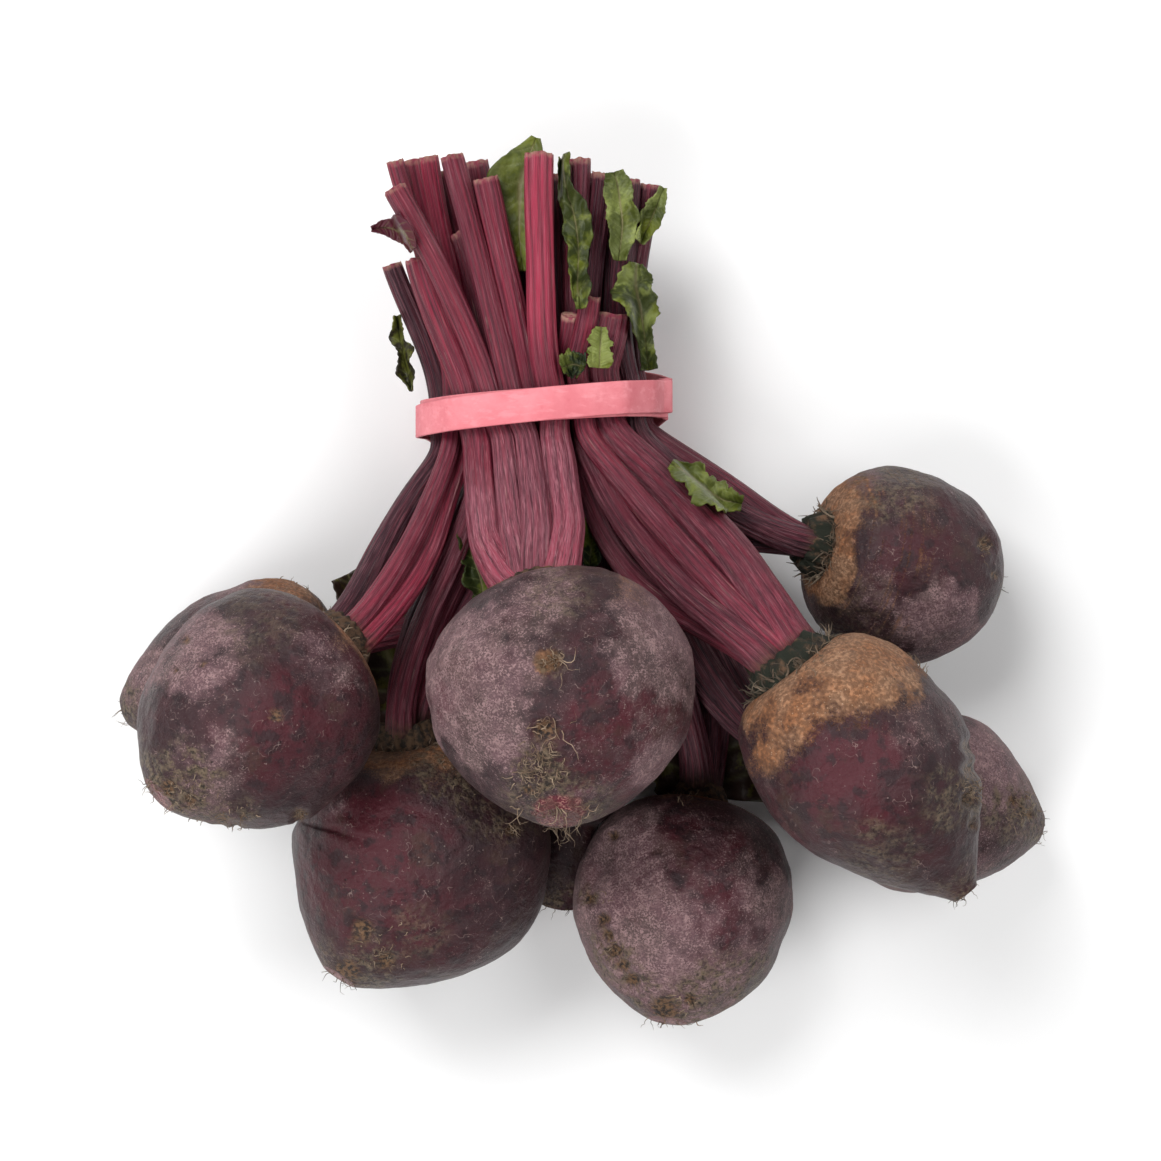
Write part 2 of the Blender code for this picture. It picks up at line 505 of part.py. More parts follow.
def blade_mesh(leaf, stalks):
    """A waved strip of leaf along its midline, laid over the stalks, split into triangles before it is thickened."""
    along_steps, across_steps = 10, 4
    line = np.column_stack((leaf.midline, leaf.half_widths))
    spots = np.linspace(0.0, len(line) - 1.0, along_steps + 1)
    middle = np.column_stack([np.interp(spots, np.arange(len(line)), line[:, k]) for k in range(3)])
    middle[1:-1] = (middle[:-2] + 2.0 * middle[1:-1] + middle[2:]) / 4.0
    heading = np.gradient(middle[:, :2], axis=0)
    heading /= np.linalg.norm(heading, axis=1)[:, None]
    grid = np.zeros((along_steps + 1, across_steps + 1, 3))
    for i in range(along_steps + 1):
        for j in range(across_steps + 1):
            side = 2.0 * j / across_steps - 1.0
            ragged = 1.0 + 0.16 * math.sin(i * 2.1 + (3.0 if side > 0 else 0.0)) * abs(side)
            off = np.array((-heading[i, 1], heading[i, 0])) * side * middle[i, 2] * ragged
            grid[i, j, :2] = middle[i, :2] + off
            if leaf.height is None:
                apart = np.hypot(stalks[:, 0] - grid[i, j, 0], stalks[:, 1] - grid[i, j, 1])
                under = apart < stalks[:, 3] + 1.6
                grid[i, j, 2] = (stalks[under, 2] + stalks[under, 3]).max() if under.any() else -99.0
            else:
                grid[i, j, 2] = leaf.height
    if leaf.height is None:
        bare = grid[:, :, 2] < 0
        grid[:, :, 2][bare] = grid[:, :, 2][~bare].min()
        padded = np.pad(grid[:, :, 2], 1, mode="edge")
        rows, columns = grid.shape[:2]
        around = [padded[a:a + rows, b:b + columns] for a in range(3) for b in range(3)]
        grid[:, :, 2] = np.maximum(grid[:, :, 2], np.mean(around, axis=0)) + LEAF_THICKNESS / 2 + GAP
    bm = bmesh.new()
    verts = []
    for i in range(along_steps + 1):
        for j in range(across_steps + 1):
            side = 2.0 * j / across_steps - 1.0
            turn = math.tau * leaf.waves * i / along_steps
            grid[i, j, 2] += leaf.wave * abs(side) * (1.0 + math.sin(turn + (1.7 if side > 0 else 0.0)))
            verts.append(bm.verts.new(Vector(grid[i, j])))
    row = across_steps + 1
    for i in range(along_steps):
        for j in range(across_steps):
            a, b, c, d = (verts[i * row + j], verts[i * row + j + 1],
                          verts[(i + 1) * row + j + 1], verts[(i + 1) * row + j])
            bm.faces.new((a, b, c))
            bm.faces.new((a, c, d))
    return bm


def thicken(made):
    """Gives a blade its thickness, in metres, evenly to both sides."""
    solid = made.modifiers.new("Thickness", "SOLIDIFY")
    solid.thickness = LEAF_THICKNESS * MM
    solid.offset = 0.0


def build():
    for old in list(bpy.data.objects):
        bpy.data.objects.remove(old)
    bunch = bpy.data.collections.new("beetroot_bunch")
    bpy.context.scene.collection.children.link(bunch)
    skin = material("beet_skin", (0.080, 0.022, 0.032), 0.75)
    stalk_red = material("beet_stalk", (0.300, 0.012, 0.070), 0.45)
    rubber = material("pink_rubber", (0.850, 0.230, 0.260), 0.55)
    for name, root in ROOTS.items():
        add("root_" + name, root_mesh(name, root, ROOT_SIDES, ROOT_RINGS, LUMP), bunch, skin)
    routes = first_routes()
    routes = settle(routes)
    radii = slim_radii(routes)
    for name, root in ROOTS.items():
        pieces = [boss_mesh(root)]
        pieces += [stalk_mesh(routes[k], radii[k]) for k, stalk in enumerate(STALKS) if stalk.root == name]
        fuse("stalks_" + name, pieces, bunch, stalk_red)
    leaf_green = material("beet_leaf", (0.050, 0.110, 0.020), 0.50)
    for name, leaf in LEAVES.items():
        thicken(add(name, blade_mesh(leaf, stalk_tops(routes, radii)), bunch, leaf_green))
    add("rubber_band", band_mesh(hull_at_band(routes, radii)), bunch, rubber)


build()
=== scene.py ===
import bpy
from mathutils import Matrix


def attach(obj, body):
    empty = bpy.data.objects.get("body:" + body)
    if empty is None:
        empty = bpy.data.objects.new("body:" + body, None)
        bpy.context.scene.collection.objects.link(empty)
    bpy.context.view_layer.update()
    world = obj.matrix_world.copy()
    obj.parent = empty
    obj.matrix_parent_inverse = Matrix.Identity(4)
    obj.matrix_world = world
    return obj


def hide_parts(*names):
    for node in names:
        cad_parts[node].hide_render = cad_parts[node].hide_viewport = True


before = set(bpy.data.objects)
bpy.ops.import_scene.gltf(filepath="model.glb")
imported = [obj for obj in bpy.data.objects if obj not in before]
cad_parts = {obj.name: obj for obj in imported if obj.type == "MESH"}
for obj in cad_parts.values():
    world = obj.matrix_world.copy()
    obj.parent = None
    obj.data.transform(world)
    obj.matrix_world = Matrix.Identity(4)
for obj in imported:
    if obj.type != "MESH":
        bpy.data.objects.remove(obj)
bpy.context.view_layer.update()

import math
from collections import namedtuple

import bpy
import numpy as np
from mathutils import Vector, noise

# The roots: nine swollen beetroots, grown whole, each a squat ball with a flat crown, a tapering tail and a
# cut tip. The skin is matt and earthy, dark wine purple under a grey bloom, with corky tan shoulders, scars
# where side roots grew, and dark pits. Sizes are in millimetres until a mesh is made.
MM = 0.001
MIDDLE = (0.28, -1.07)
Root = namedtuple("Root", "centre axis radius crown tail crown_radius tip_radius taper body bent",
                  defaults=(None,))
ROOTS = {
    "front_top": Root((-4.8, -31.0, 88.3), (-0.03, -0.87, 0.49), 36.3, 29.5, 37.5, 12.0, 6.0, 0.90, 1.0,
                      (0.21, -0.85, 0.46)),
    "left_top": Root((-89.2, -36.2, 84.5), (-0.68, -0.60, 0.42), 31.2, 29.5, 36.2, 11.0, 5.5, 0.90, 1.0),
    "left_low": Root((-95.5, -26.0, 25.1), (-0.94, -0.30, -0.08), 25.6, 24.0, 42.5, 9.0, 4.5, 0.90, 1.0),
    "front_left": Root((-46.2, -78.4, 37.6), (-0.52, -0.80, 0.30), 38.1, 32.5, 44.6, 10.0, 5.5, 0.92, 1.0,
                       (0.12, -0.96, -0.20)),
    "front": Root((30.7, -95.0, 31.6), (-0.15, -0.93, 0.33), 32.0, 29.5, 35.4, 9.0, 5.5, 0.82, 1.0),
    "middle": Root((3.0, -39.5, 22.4), (-0.16, -0.96, -0.235), 23.0, 21.5, 60.5, 8.0, 6.8, 0.85, 0.54),
    "right_top": Root((78.3, -50.0, 81.0), (0.61, -0.79, 0.03), 29.4, 32.0, 46.0, 13.0, 4.0, 1.25, 1.0),
    "right_low": Root((101.0, -64.5, 27.7), (0.96, -0.25, -0.10), 28.0, 25.0, 37.0, 9.0, 4.5, 1.00, 1.0),
    "right_back": Root((94.8, 4.3, 28.3), (0.93, -0.22, -0.28), 28.6, 26.0, 30.0, 10.0, 4.5, 0.60, 1.0),
}
LUMP = 0.030
FLOOR_ROOTS = ("left_low", "front_left", "front", "middle", "right_low", "right_back")
CAMERA = (0.0, 0.0, 840.0)
LENS = 85.0
SENSOR = 36.0
PHOTO = 1161
FOCUS = PHOTO * LENS / SENSOR


def unit(vector):
    vector = np.asarray(vector, float)
    return vector / np.linalg.norm(vector)


def soft(value, low, high):
    """A smooth rise from 0 at low to 1 at high, or a fall where high is the smaller."""
    t = np.clip((value - low) / (high - low), 0.0, 1.0)
    return t * t * (3.0 - 2.0 * t)


def root_frame(root, w):
    """The root's own direction at w, from -1 at the crown to 1 at the tip, and two directions across it."""
    turned = soft(w, -0.95, 0.95)
    along = unit(unit(root.bent or root.axis) * (1.0 - turned) + unit(root.axis) * turned)
    across = unit(np.cross(along, (0.0, 0.0, 1.0)))
    return along, across, np.cross(along, across)


def root_profile(root, w):
    """How far along the axis and how wide the root is at w, from -1 at the crown to 1 at the tip."""
    if w <= 0.0:
        wide = root.crown_radius + (root.radius - root.crown_radius) * (1.0 - (-w) ** 2.3) ** (1 / 2.1)
        return w * root.crown, wide
    neck = root.tip_radius * (1.0 + 0.5 * (1.0 - w))
    swell = max(1.0 - (w / root.body) ** 2, 0.0) ** root.taper
    return w * root.tail, neck + (root.radius - neck) * swell


def pixels(points):
    """Where points fall in the photograph's frame."""
    depth = CAMERA[2] - points[..., 2]
    return np.stack((PHOTO / 2 + (points[..., 0] - CAMERA[0]) * FOCUS / depth,
                     PHOTO / 2 - (points[..., 1] - CAMERA[1]) * FOCUS / depth), axis=-1)


def noise_at(points, size, seed=0.0):
    """Smooth noise, about -1 to 1, whose lumps are about so many millimetres across."""
    shift = Vector((seed * 13.1, seed * 7.7, seed * 3.3))
    flat = points.reshape(-1, 3) / size
    return np.array([noise.noise(Vector(p) + shift) for p in flat]).reshape(points.shape[:-1])


def grid_faces(rows, sides, flip=False, ring=True, loop=False):
    """Faces between rows of points: each row closed or open, and the last row joined to the first or not."""
    faces = []
    for i in range(rows if loop else rows - 1):
        here, beyond = i * sides, (i + 1) % rows * sides
        for j in range(sides if ring else sides - 1):
            k = (j + 1) % sides
            face = (here + j, here + k, beyond + k, beyond + j)
            faces.append((face[0], face[3], face[2], face[1]) if flip else face)
    return faces


def add_object(name, data):
    made = bpy.data.objects.new(name, data)
    bpy.context.scene.collection.objects.link(made)
    return made


def packed(points):
    """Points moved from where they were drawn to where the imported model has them."""
    points = np.asarray(points, float).copy()
    points[:, :2] -= MIDDLE
    return points


def plain_mesh(name, points, faces, paint, values=None):
    """A mesh from points in millimetres, with named values on its points, made an object in metres."""
    mesh = bpy.data.meshes.new(name)
    mesh.from_pydata((packed(points) * MM).tolist(), [], faces)
    mesh.validate()
    for key, data in (values or {}).items():
        data = np.asarray(data, float)
        kind, field = ("FLOAT_VECTOR", "vector") if data.ndim == 2 else ("FLOAT", "value")
        mesh.attributes.new(key, kind, "POINT").data.foreach_set(field, data.reshape(-1))
    mesh.materials.append(paint)
    mesh.shade_smooth()
    return add_object(name, mesh)


def feed(tree, socket, value):
    """Gives an input its value, or links it to the socket that feeds it."""
    if isinstance(value, bpy.types.NodeSocket):
        tree.links.new(value, socket)
    else:
        socket.default_value = value


def node(tree, kind, inputs=None, **settings):
    """A node with its settings and inputs, each input a value or the socket that feeds it."""
    made = tree.nodes.new(kind)
    for key, value in settings.items():
        setattr(made, key, value)
    for key, value in (inputs or {}).items():
        feed(tree, made.inputs[key], value)
    return made


def smooth_range(tree, value, low, high):
    return node(tree, "ShaderNodeMapRange", {"Value": value, "From Min": low, "From Max": high},
                interpolation_type="SMOOTHSTEP").outputs["Result"]


def patchy_group():
    """Shared by every finish: a soft-edged mask of noise patches of a chosen size and share."""
    group = bpy.data.node_groups.new("patchy_mask", "ShaderNodeTree")
    group.interface.new_socket("Vector", in_out="INPUT", socket_type="NodeSocketVector")
    for name, value in (("Scale", 50.0), ("Low", 0.45), ("High", 0.6), ("Detail", 4.0)):
        made = group.interface.new_socket(name, in_out="INPUT", socket_type="NodeSocketFloat")
        made.default_value = value
    group.interface.new_socket("Mask", in_out="OUTPUT", socket_type="NodeSocketFloat")
    into = group.nodes.new("NodeGroupInput").outputs
    texture = node(group, "ShaderNodeTexNoise", {"Vector": into["Vector"], "Scale": into["Scale"],
                                                 "Detail": into["Detail"], "Roughness": 0.6})
    mask = smooth_range(group, texture.outputs["Fac"], into["Low"], into["High"])
    group.links.new(mask, group.nodes.new("NodeGroupOutput").inputs["Mask"])
    return group


PATCHY = patchy_group()


class Finish:
    """A material while it is made: masks over the piece, and coats of colour that are laid on by them."""

    def __init__(self, name):
        self.paint = bpy.data.materials.new(name)
        self.paint.use_nodes = True
        self.tree = self.paint.node_tree
        self.shader = self.tree.nodes["Principled BSDF"]
        self.place = node(self.tree, "ShaderNodeTexCoord").outputs["Object"]
        self.colour = None

    def maths(self, operation, first, second=0.0, clamp=False):
        return node(self.tree, "ShaderNodeMath", {0: first, 1: second}, operation=operation,
                    use_clamp=clamp).outputs[0]

    def times(self, first, second, clamp=False):
        return self.maths("MULTIPLY", first, second, clamp)

    def plus(self, first, second, clamp=False):
        return self.maths("ADD", first, second, clamp)

    def rise(self, value, low, high):
        """A mask that rises smoothly from 0 where the value is low to 1 where it is high."""
        return smooth_range(self.tree, value, low, high)

    def own(self, name, output="Fac"):
        """A value that the mesh carries on its points."""
        return node(self.tree, "ShaderNodeAttribute", attribute_name=name).outputs[output]

    def noise(self, scale, detail, rough=0.5):
        return node(self.tree, "ShaderNodeTexNoise", {"Vector": self.place, "Scale": scale, "Detail": detail,
                                                      "Roughness": rough}).outputs["Fac"]

    def patchy(self, scale, low, high, detail=4.0, vector=None):
        inputs = {"Vector": self.place if vector is None else vector, "Scale": scale, "Low": low,
                  "High": high, "Detail": detail}
        return node(self.tree, "ShaderNodeGroup", inputs, node_tree=PATCHY).outputs["Mask"]

    def dots(self, scale, size):
        """Round dots: 1 at each dot's middle."""
        cells = node(self.tree, "ShaderNodeTexVoronoi", {"Vector": self.place, "Scale": scale})
        return self.rise(cells.outputs["Distance"], size, size * 0.4)

    def hairlines(self, scale, width):
        """Thin wandering lines, as hairs and scratches leave: where smooth noise crosses its middle."""
        off = self.maths("ABSOLUTE", self.maths("SUBTRACT", self.noise(scale, 2.0), 0.5))
        return self.rise(off, width, width * 0.4)

    def mix(self, factor, first, second):
        made = node(self.tree, "ShaderNodeMix", {0: factor}, data_type="RGBA")
        for key, value in ((6, first), (7, second)):
            feed(self.tree, made.inputs[key], (*value, 1.0) if isinstance(value, tuple) else value)
        return made.outputs[2]

    def coat(self, colour, mask, share=None, clamp=False):
        """Lays a colour over what is there, where the mask is, or a share of it."""
        factor = mask if share is None else self.times(mask, share, clamp)
        self.colour = self.mix(factor, self.colour, colour)

    def done(self, rough, specular=0.5, height=None, strength=0.0, depth=0.0):
        """The material, with its colour, roughness, gloss, and relief that is up to so many metres deep."""
        feed(self.tree, self.shader.inputs["Base Color"], self.colour)
        feed(self.tree, self.shader.inputs["Roughness"], rough)
        self.shader.inputs["Specular IOR Level"].default_value = specular
        if height is not None:
            bump = node(self.tree, "ShaderNodeBump", {"Height": height, "Strength": strength,
                                                      "Distance": depth})
            self.tree.links.new(bump.outputs["Normal"], self.shader.inputs["Normal"])
        return self.paint


def skin_paint():
    skin = Finish("beet_skin_finish")
    wine = skin.plus(skin.own("wine"), skin.times(skin.patchy(26.0, 0.46, 0.66), 0.6), True)
    skin.colour = skin.mix(wine, (0.034, 0.0135, 0.0165), (0.066, 0.0115, 0.0175))
    skin.coat((0.038, 0.023, 0.025), skin.patchy(60.0, 0.46, 0.66), 0.5)
    skin.coat((0.052, 0.029, 0.021), skin.patchy(85.0, 0.54, 0.68, 6.0), 0.6)
    skin.coat((0.020, 0.0095, 0.012), skin.patchy(190.0, 0.49, 0.60, 8.0), 0.75)
    # The bloom: a soft pale veil in patches, with crisp pale flecks that crowd together where it is thick.
    grain = skin.noise(1800.0, 4.0, 0.72)
    cloud = skin.noise(130.0, 9.0, 0.72)
    cover = skin.plus(skin.times(skin.own("dusty"), 0.55), skin.times(cloud, 1.25))
    veil = skin.rise(cover, 0.82, 1.18)
    crowd = skin.plus(skin.times(skin.patchy(430.0, 0.42, 0.58), 0.7), 0.35)
    fleck = skin.rise(skin.plus(grain, skin.times(cover, 0.36)), 0.895, 0.975)
    fleck = skin.times(fleck, crowd, True)
    bloom = skin.mix(skin.patchy(48.0, 0.40, 0.62), (0.165, 0.090, 0.102), (0.130, 0.082, 0.080))
    skin.coat(bloom, veil, 0.62)
    skin.coat((0.350, 0.222, 0.224), fleck, 0.85)
    dust = skin.plus(skin.times(veil, 0.5), skin.times(fleck, 0.5))
    scratch = skin.times(skin.hairlines(170.0, 0.0055), skin.patchy(240.0, 0.50, 0.60))
    skin.coat((0.30, 0.21, 0.19), scratch, 0.55)
    lenticels = skin.times(skin.dots(620.0, 0.16), skin.patchy(75.0, 0.46, 0.60))
    skin.coat((0.36, 0.28, 0.25), lenticels, 0.50)
    # Cork: the dry tan skin of the shoulders, cracked in fine brown lines.
    cracks = skin.patchy(900.0, 0.34, 0.62, 5.0)
    tan = skin.plus(skin.own("tan"), skin.times(cloud, 1.1))
    tan = skin.rise(skin.plus(tan, skin.times(grain, 1.8)), 1.66, 2.34)
    cork = skin.mix(skin.patchy(95.0, 0.38, 0.62, 6.0), (0.430, 0.240, 0.140), (0.380, 0.160, 0.070))
    cork = skin.mix(skin.times(cracks, 0.75), cork, (0.105, 0.048, 0.026))
    cork = skin.mix(skin.times(skin.dots(800.0, 0.2), 0.5), cork, (0.62, 0.44, 0.30))
    skin.coat(cork, tan)
    pits = skin.times(skin.dots(300.0, 0.13), skin.patchy(38.0, 0.56, 0.62))
    skin.coat((0.016, 0.009, 0.010), pits, 0.85)
    # Dried soil in crumbs, the dark scars of side roots, and the cut flesh at the tips.
    crumbs = skin.patchy(850.0, 0.38, 0.58, 5.0)
    earth = skin.times(skin.own("earth"), skin.patchy(330.0, 0.38, 0.64, 7.0), True)
    skin.coat(skin.mix(crumbs, (0.024, 0.017, 0.012), (0.165, 0.120, 0.078)), earth)
    scar = skin.mix(skin.patchy(800.0, 0.4, 0.6), (0.016, 0.010, 0.008), (0.150, 0.080, 0.040))
    skin.coat(scar, skin.own("scar"))
    flesh = skin.mix(skin.hairlines(700.0, 0.05), (0.110, 0.016, 0.026), (0.330, 0.150, 0.130))
    flesh = skin.mix(skin.times(skin.patchy(260.0, 0.46, 0.60), 0.7), flesh, (0.085, 0.032, 0.026))
    skin.coat(flesh, skin.own("cut"))
    skin.shader.inputs["Sheen Weight"].default_value = 0.03
    skin.shader.inputs["Sheen Roughness"].default_value = 0.45
    skin.shader.inputs["Sheen Tint"].default_value = (0.80, 0.68, 0.62, 1.0)
    rough = skin.plus(skin.times(dust, 0.34), 0.44)
    rough = skin.plus(rough, skin.times(tan, 0.30), True)
    height = skin.plus(skin.times(dust, 0.45), skin.times(cracks, tan))
    height = skin.plus(height, skin.times(skin.patchy(240.0, 0.3, 0.7, 7.0), 1.1))
    height = skin.maths("SUBTRACT", height, skin.times(pits, 1.8))
    height = skin.plus(height, skin.times(earth, crumbs))
    return skin.done(rough, 0.25, height, 0.8, 0.00042)


# Marks on each root, by kind: where each shows in the photograph (in its pixels), how far it reaches in those
# pixels, and how strong it is; for a scar that last value is its depth in millimetres.
MARKS = {
    "front_top": {
        "scar": [(553, 661, 9, 1.1), (545, 731, 12, 1.5), (528, 790, 5, 0.5)],
        "earth": [(540, 768, 30, 1.0), (552, 664, 15, 0.8), (556, 775, 20, 0.8), (560, 592, 34, 0.5)],
        "dusty": [(466, 672, 62, 0.85), (660, 640, 52, 1.0), (645, 600, 30, 0.7), (490, 730, 46, 0.7),
                  (540, 600, 40, 0.4), (660, 770, 30, 0.5), (700, 700, 16, 0.6)],
        "wine": [(622, 735, 70, 1.0), (440, 700, 22, 0.7)],
        "tan": [(630, 590, 24, 0.4), (548, 660, 12, 0.9)],
        "cut": [(559, 810, 27, 1.0)],
    },
    "left_top": {
        "dusty": [(180, 650, 56, 0.8), (330, 660, 40, 0.4), (210, 780, 50, 0.7)],
        "wine": [(268, 735, 60, 0.7)],
        "scar": [(186, 640, 4, 0.7), (202, 664, 3, 0.6), (176, 670, 3, 0.6), (276, 716, 7, 0.2),
                 (300, 815, 7, 0.8), (168, 788, 8, 0.9), (190, 800, 6, 0.8), (222, 820, 7, 0.8),
                 (236, 826, 5, 0.8)],
        "earth": [(185, 790, 44, 1.0), (235, 818, 28, 0.8), (260, 610, 46, 0.4)],
        "tan": [(345, 640, 16, 0.4)],
    },
    "left_low": {
        "tan": [(285, 583, 36, 0.8)],
        "dusty": [(250, 590, 34, 0.5), (150, 680, 30, 0.6)],
        "earth": [(130, 700, 18, 0.8)],
    },
    "front_left": {
        "wine": [(375, 870, 90, 0.9)],
        "scar": [(362, 930, 12, 1.3), (386, 960, 9, 0.9), (346, 974, 14, 0.2), (512, 830, 6, 0.8)],
        "earth": [(452, 762, 44, 0.9), (500, 800, 44, 0.6), (372, 962, 30, 0.6), (420, 930, 26, 0.4)],
        "tan": [(450, 766, 30, 0.35)],
        "dusty": [(312, 790, 34, 0.4), (330, 960, 26, 0.3)],
    },
    "front": {
        # The first mark, on the front root's left side, is partly bloom and partly painted light where that
        # side is brightest.
        "dusty": [(605, 880, 66, 1.6), (640, 935, 60, 1.4), (620, 830, 30, 0.5), (775, 900, 26, 0.7),
                  (690, 985, 50, 0.8)],
        "wine": [(700, 850, 62, 0.9), (735, 930, 40, 0.4), (588, 876, 12, 1.0)],
        "scar": [(603, 920, 7, 1.2), (608, 936, 7, 1.5), (615, 951, 8, 1.5), (624, 965, 7, 1.4),
                 (632, 980, 8, 1.3), (590, 898, 6, 1.0), (614, 836, 5, 0.8), (665, 1010, 15, 0.2),
                 (690, 1000, 6, 0.8)],
        "earth": [(640, 985, 18, 0.8), (730, 985, 40, 0.8), (600, 940, 14, 0.9), (618, 960, 28, 0.9),
                  (592, 896, 12, 0.8), (690, 1000, 30, 0.8), (760, 975, 30, 0.4)],
        "tan": [(690, 796, 20, 0.4)],
    },
    "middle": {},
    "right_top": {
        "tan": [(850, 672, 56, 0.9), (785, 725, 32, 0.8), (890, 656, 40, 0.8), (765, 760, 18, 0.7)],
        "wine": [(850, 775, 70, 0.8)],
        "dusty": [(930, 720, 44, 0.5), (925, 850, 46, 0.2)],
        "scar": [(970, 748, 8, 1.6), (972, 768, 9, 1.8), (968, 800, 7, 1.3), (972, 826, 4, 1.0)],
        "earth": [(955, 800, 34, 0.8), (880, 860, 40, 0.5), (925, 655, 18, 0.6)],
    },
    "right_low": {
        "scar": [(1014, 800, 6, 0.9), (1030, 815, 4, 0.7)],
        "earth": [(1015, 810, 34, 1.0), (900, 885, 40, 0.4)],
        "dusty": [(1000, 760, 50, 0.9)],
    },
    "right_back": {
        "dusty": [(935, 625, 46, 1.1), (870, 600, 40, 0.4), (850, 480, 30, 0.5)],
        "tan": [(828, 545, 24, 0.8), (845, 500, 30, 0.7), (835, 590, 20, 0.5)],
        "earth": [(890, 484, 44, 0.7), (860, 620, 40, 0.4)],
        "wine": [(925, 560, 60, 0.6)],
        "scar": [(985, 543, 7, 1.3), (995, 575, 4, 0.6)],
    },
}
# How much bloom each root has left all over; on the front root part of it is painted light, brightening that
# root as a whole.
BLOOM_AND_PAINTED_LIGHT = {"front_top": 0.37, "left_top": 0.07, "left_low": 0.4, "front_left": 0.02, "front": 0.5,
         "middle": 0.0, "right_top": 0.0, "right_low": 0.55, "right_back": 0.2}
SIDES = 144
RINGS = 112
SKIN = skin_paint()
ROOT_SURFACES = {}


def root_points(root, lump):
    """The root's surface as a grid of points from crown to tip, and how far along each ring lies."""
    seed = Vector(root.centre) * 0.37
    turns = np.arange(SIDES) * math.tau / SIDES
    stations = -np.cos(np.linspace(0.0, math.pi, RINGS))
    grid = np.zeros((RINGS, SIDES, 3))
    for i, w in enumerate(stations):
        length, wide = root_profile(root, w)
        along, across, up = root_frame(root, w)
        calm = 1.0 - abs(w) ** 6
        for j, turn in enumerate(turns):
            spot = Vector((math.cos(turn), math.sin(turn), w * 1.3))
            uneven = lump * calm * (2.2 * noise.noise(spot * 1.1 + seed) + noise.noise(spot * 2.6 + seed))
            reach = wide * (1.0 + uneven)
            grid[i, j] = (np.array(root.centre) + along * length
                          + across * reach * math.cos(turn) + up * reach * math.sin(turn))
    return grid, stations


def grid_normals(grid, centre):
    """The surface's directions outwards at its points."""
    down = np.gradient(grid, axis=0)
    around = np.roll(grid, -1, axis=1) - np.roll(grid, 1, axis=1)
    normal = np.cross(around, down)
    normal = normal / np.maximum(np.linalg.norm(normal, axis=2), 1e-9)[:, :, None]
    outward = (normal * (grid - np.array(centre))).sum()
    return normal * (1.0 if outward > 0 else -1.0)


for root_name, root in ROOTS.items():
    grid, stations = root_points(root, LUMP)
    normal = grid_normals(grid, root.centre)
    shown = pixels(grid)
    facing = normal[:, :, 2] > -0.1
    values = {key: np.zeros(grid.shape[:2]) for key in ("wine", "dusty", "tan", "earth", "scar", "cut")}
    w = stations[:, None] * np.ones(SIDES)[None, :]
    wander = noise_at(grid, 9.0, 1.0)
    values["tan"] += 0.75 * soft(-w + 0.14 * wander, 0.84, 0.99)
    values["earth"] += 0.8 * soft(w + 0.10 * wander, 0.80, 0.96)
    values["dusty"] += BLOOM_AND_PAINTED_LIGHT[root_name] + 0.30 * soft(noise_at(grid, 22.0, 2.0), -0.1, 0.5)
    # The skin's own relief: small lumps, and low rings round the shoulder.
    relief = 0.26 * noise_at(grid, 5.5, 3.0) + 0.13 * noise_at(grid, 2.0, 4.0)
    rings = noise_at(np.stack((w * 30.0, w * 0.0, wander * 2.0), axis=-1), 1.0, 5.0)
    relief += 0.10 * rings * soft(-w, 0.35, 0.9)
    if root_name == "right_back":
        rings = noise_at(np.stack((w * 26.0, w * 0.0, wander * 0.8), axis=-1), 1.0, 9.0)
        values["tan"] += 0.42 * soft(rings, 0.0, 0.5) * soft(-w, -0.25, 0.45)
    ragged, coarse, small = noise_at(grid, 1.6, 6.0), noise_at(grid, 9.0, 7.0), noise_at(grid, 3.0, 8.0)
    for kind, marks in MARKS[root_name].items():
        for u, v, reach, strength in marks:
            far = np.hypot(shown[:, :, 0] - u, shown[:, :, 1] - v) / reach
            if kind == "scar":
                edge = soft(far + 0.35 * ragged, 1.25, 0.55)
                values["scar"] = np.maximum(values["scar"], facing * edge)
                relief -= facing * strength * np.exp(-(far**2) * 1.2)
                relief += facing * strength * 0.35 * np.exp(-((far - 1.7) ** 2) * 2.5)
            elif kind == "cut":
                oval = np.hypot(shown[:, :, 0] - u, (shown[:, :, 1] - v) * 1.8) / reach
                values["cut"] += facing * strength * soft(oval + 0.15 * noise_at(grid, 2.0, 6.0), 1.1, 0.85)
            else:
                blotch = far + 0.40 * coarse + 0.22 * small
                edges = (1.5, 0.35) if kind == "tan" else (1.25, 0.55)
                values[kind] += facing * strength * soft(blotch, *edges)
    grid = grid + normal * (relief * (1.0 - np.abs(w) ** 12))[:, :, None]
    if root_name in FLOOR_ROOTS:
        grid[:, :, 2] = np.maximum(grid[:, :, 2], 0.0)
    points = np.vstack((grid.reshape(-1, 3), grid[0].mean(axis=0), grid[-1].mean(axis=0)))
    flat = {key: np.append(np.clip(data, 0, 1).reshape(-1), (0.0, 0.0)) for key, data in values.items()}
    flat["cut"][-1] = 1.0
    flat["cut"][(RINGS - 2) * SIDES:RINGS * SIDES] = 0.6
    crown_end, tip_end = RINGS * SIDES, RINGS * SIDES + 1
    faces = grid_faces(RINGS, SIDES, flip=True)
    for j in range(SIDES):
        k = (j + 1) % SIDES
        faces.append((crown_end, j, k))
        faces.append((tip_end, (RINGS - 1) * SIDES + k, (RINGS - 1) * SIDES + j))
    made = plain_mesh("beet_" + root_name, points, faces, SKIN, flat)
    ROOT_SURFACES[root_name] = (grid, normal, shown)
    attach(made, "root")
    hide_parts("root_" + root_name)

# The crowns and stalks: each root's trimmed stalks grow from a rough crown, run through the band and end in
# plain cuts. They are ribbed lengthwise, flattened on the side that faced the plant's middle, and glossy
# where they are fresh; towards the roots they are dustier. A few are dried and almost black, and the stalks
# of the low roots behind are darkened too, there as painted shade.
Stalk = namedtuple("Stalk", "root radius slot top bow look")
BAND_Y = 50.0
BAND_TILT = 0.085
BAND_MIDDLE = (-11.5, 38.0)
BUNDLE_HALF = (32.4, 22.0)
STRAIGHT = (0.0, 0.0, 0.0)
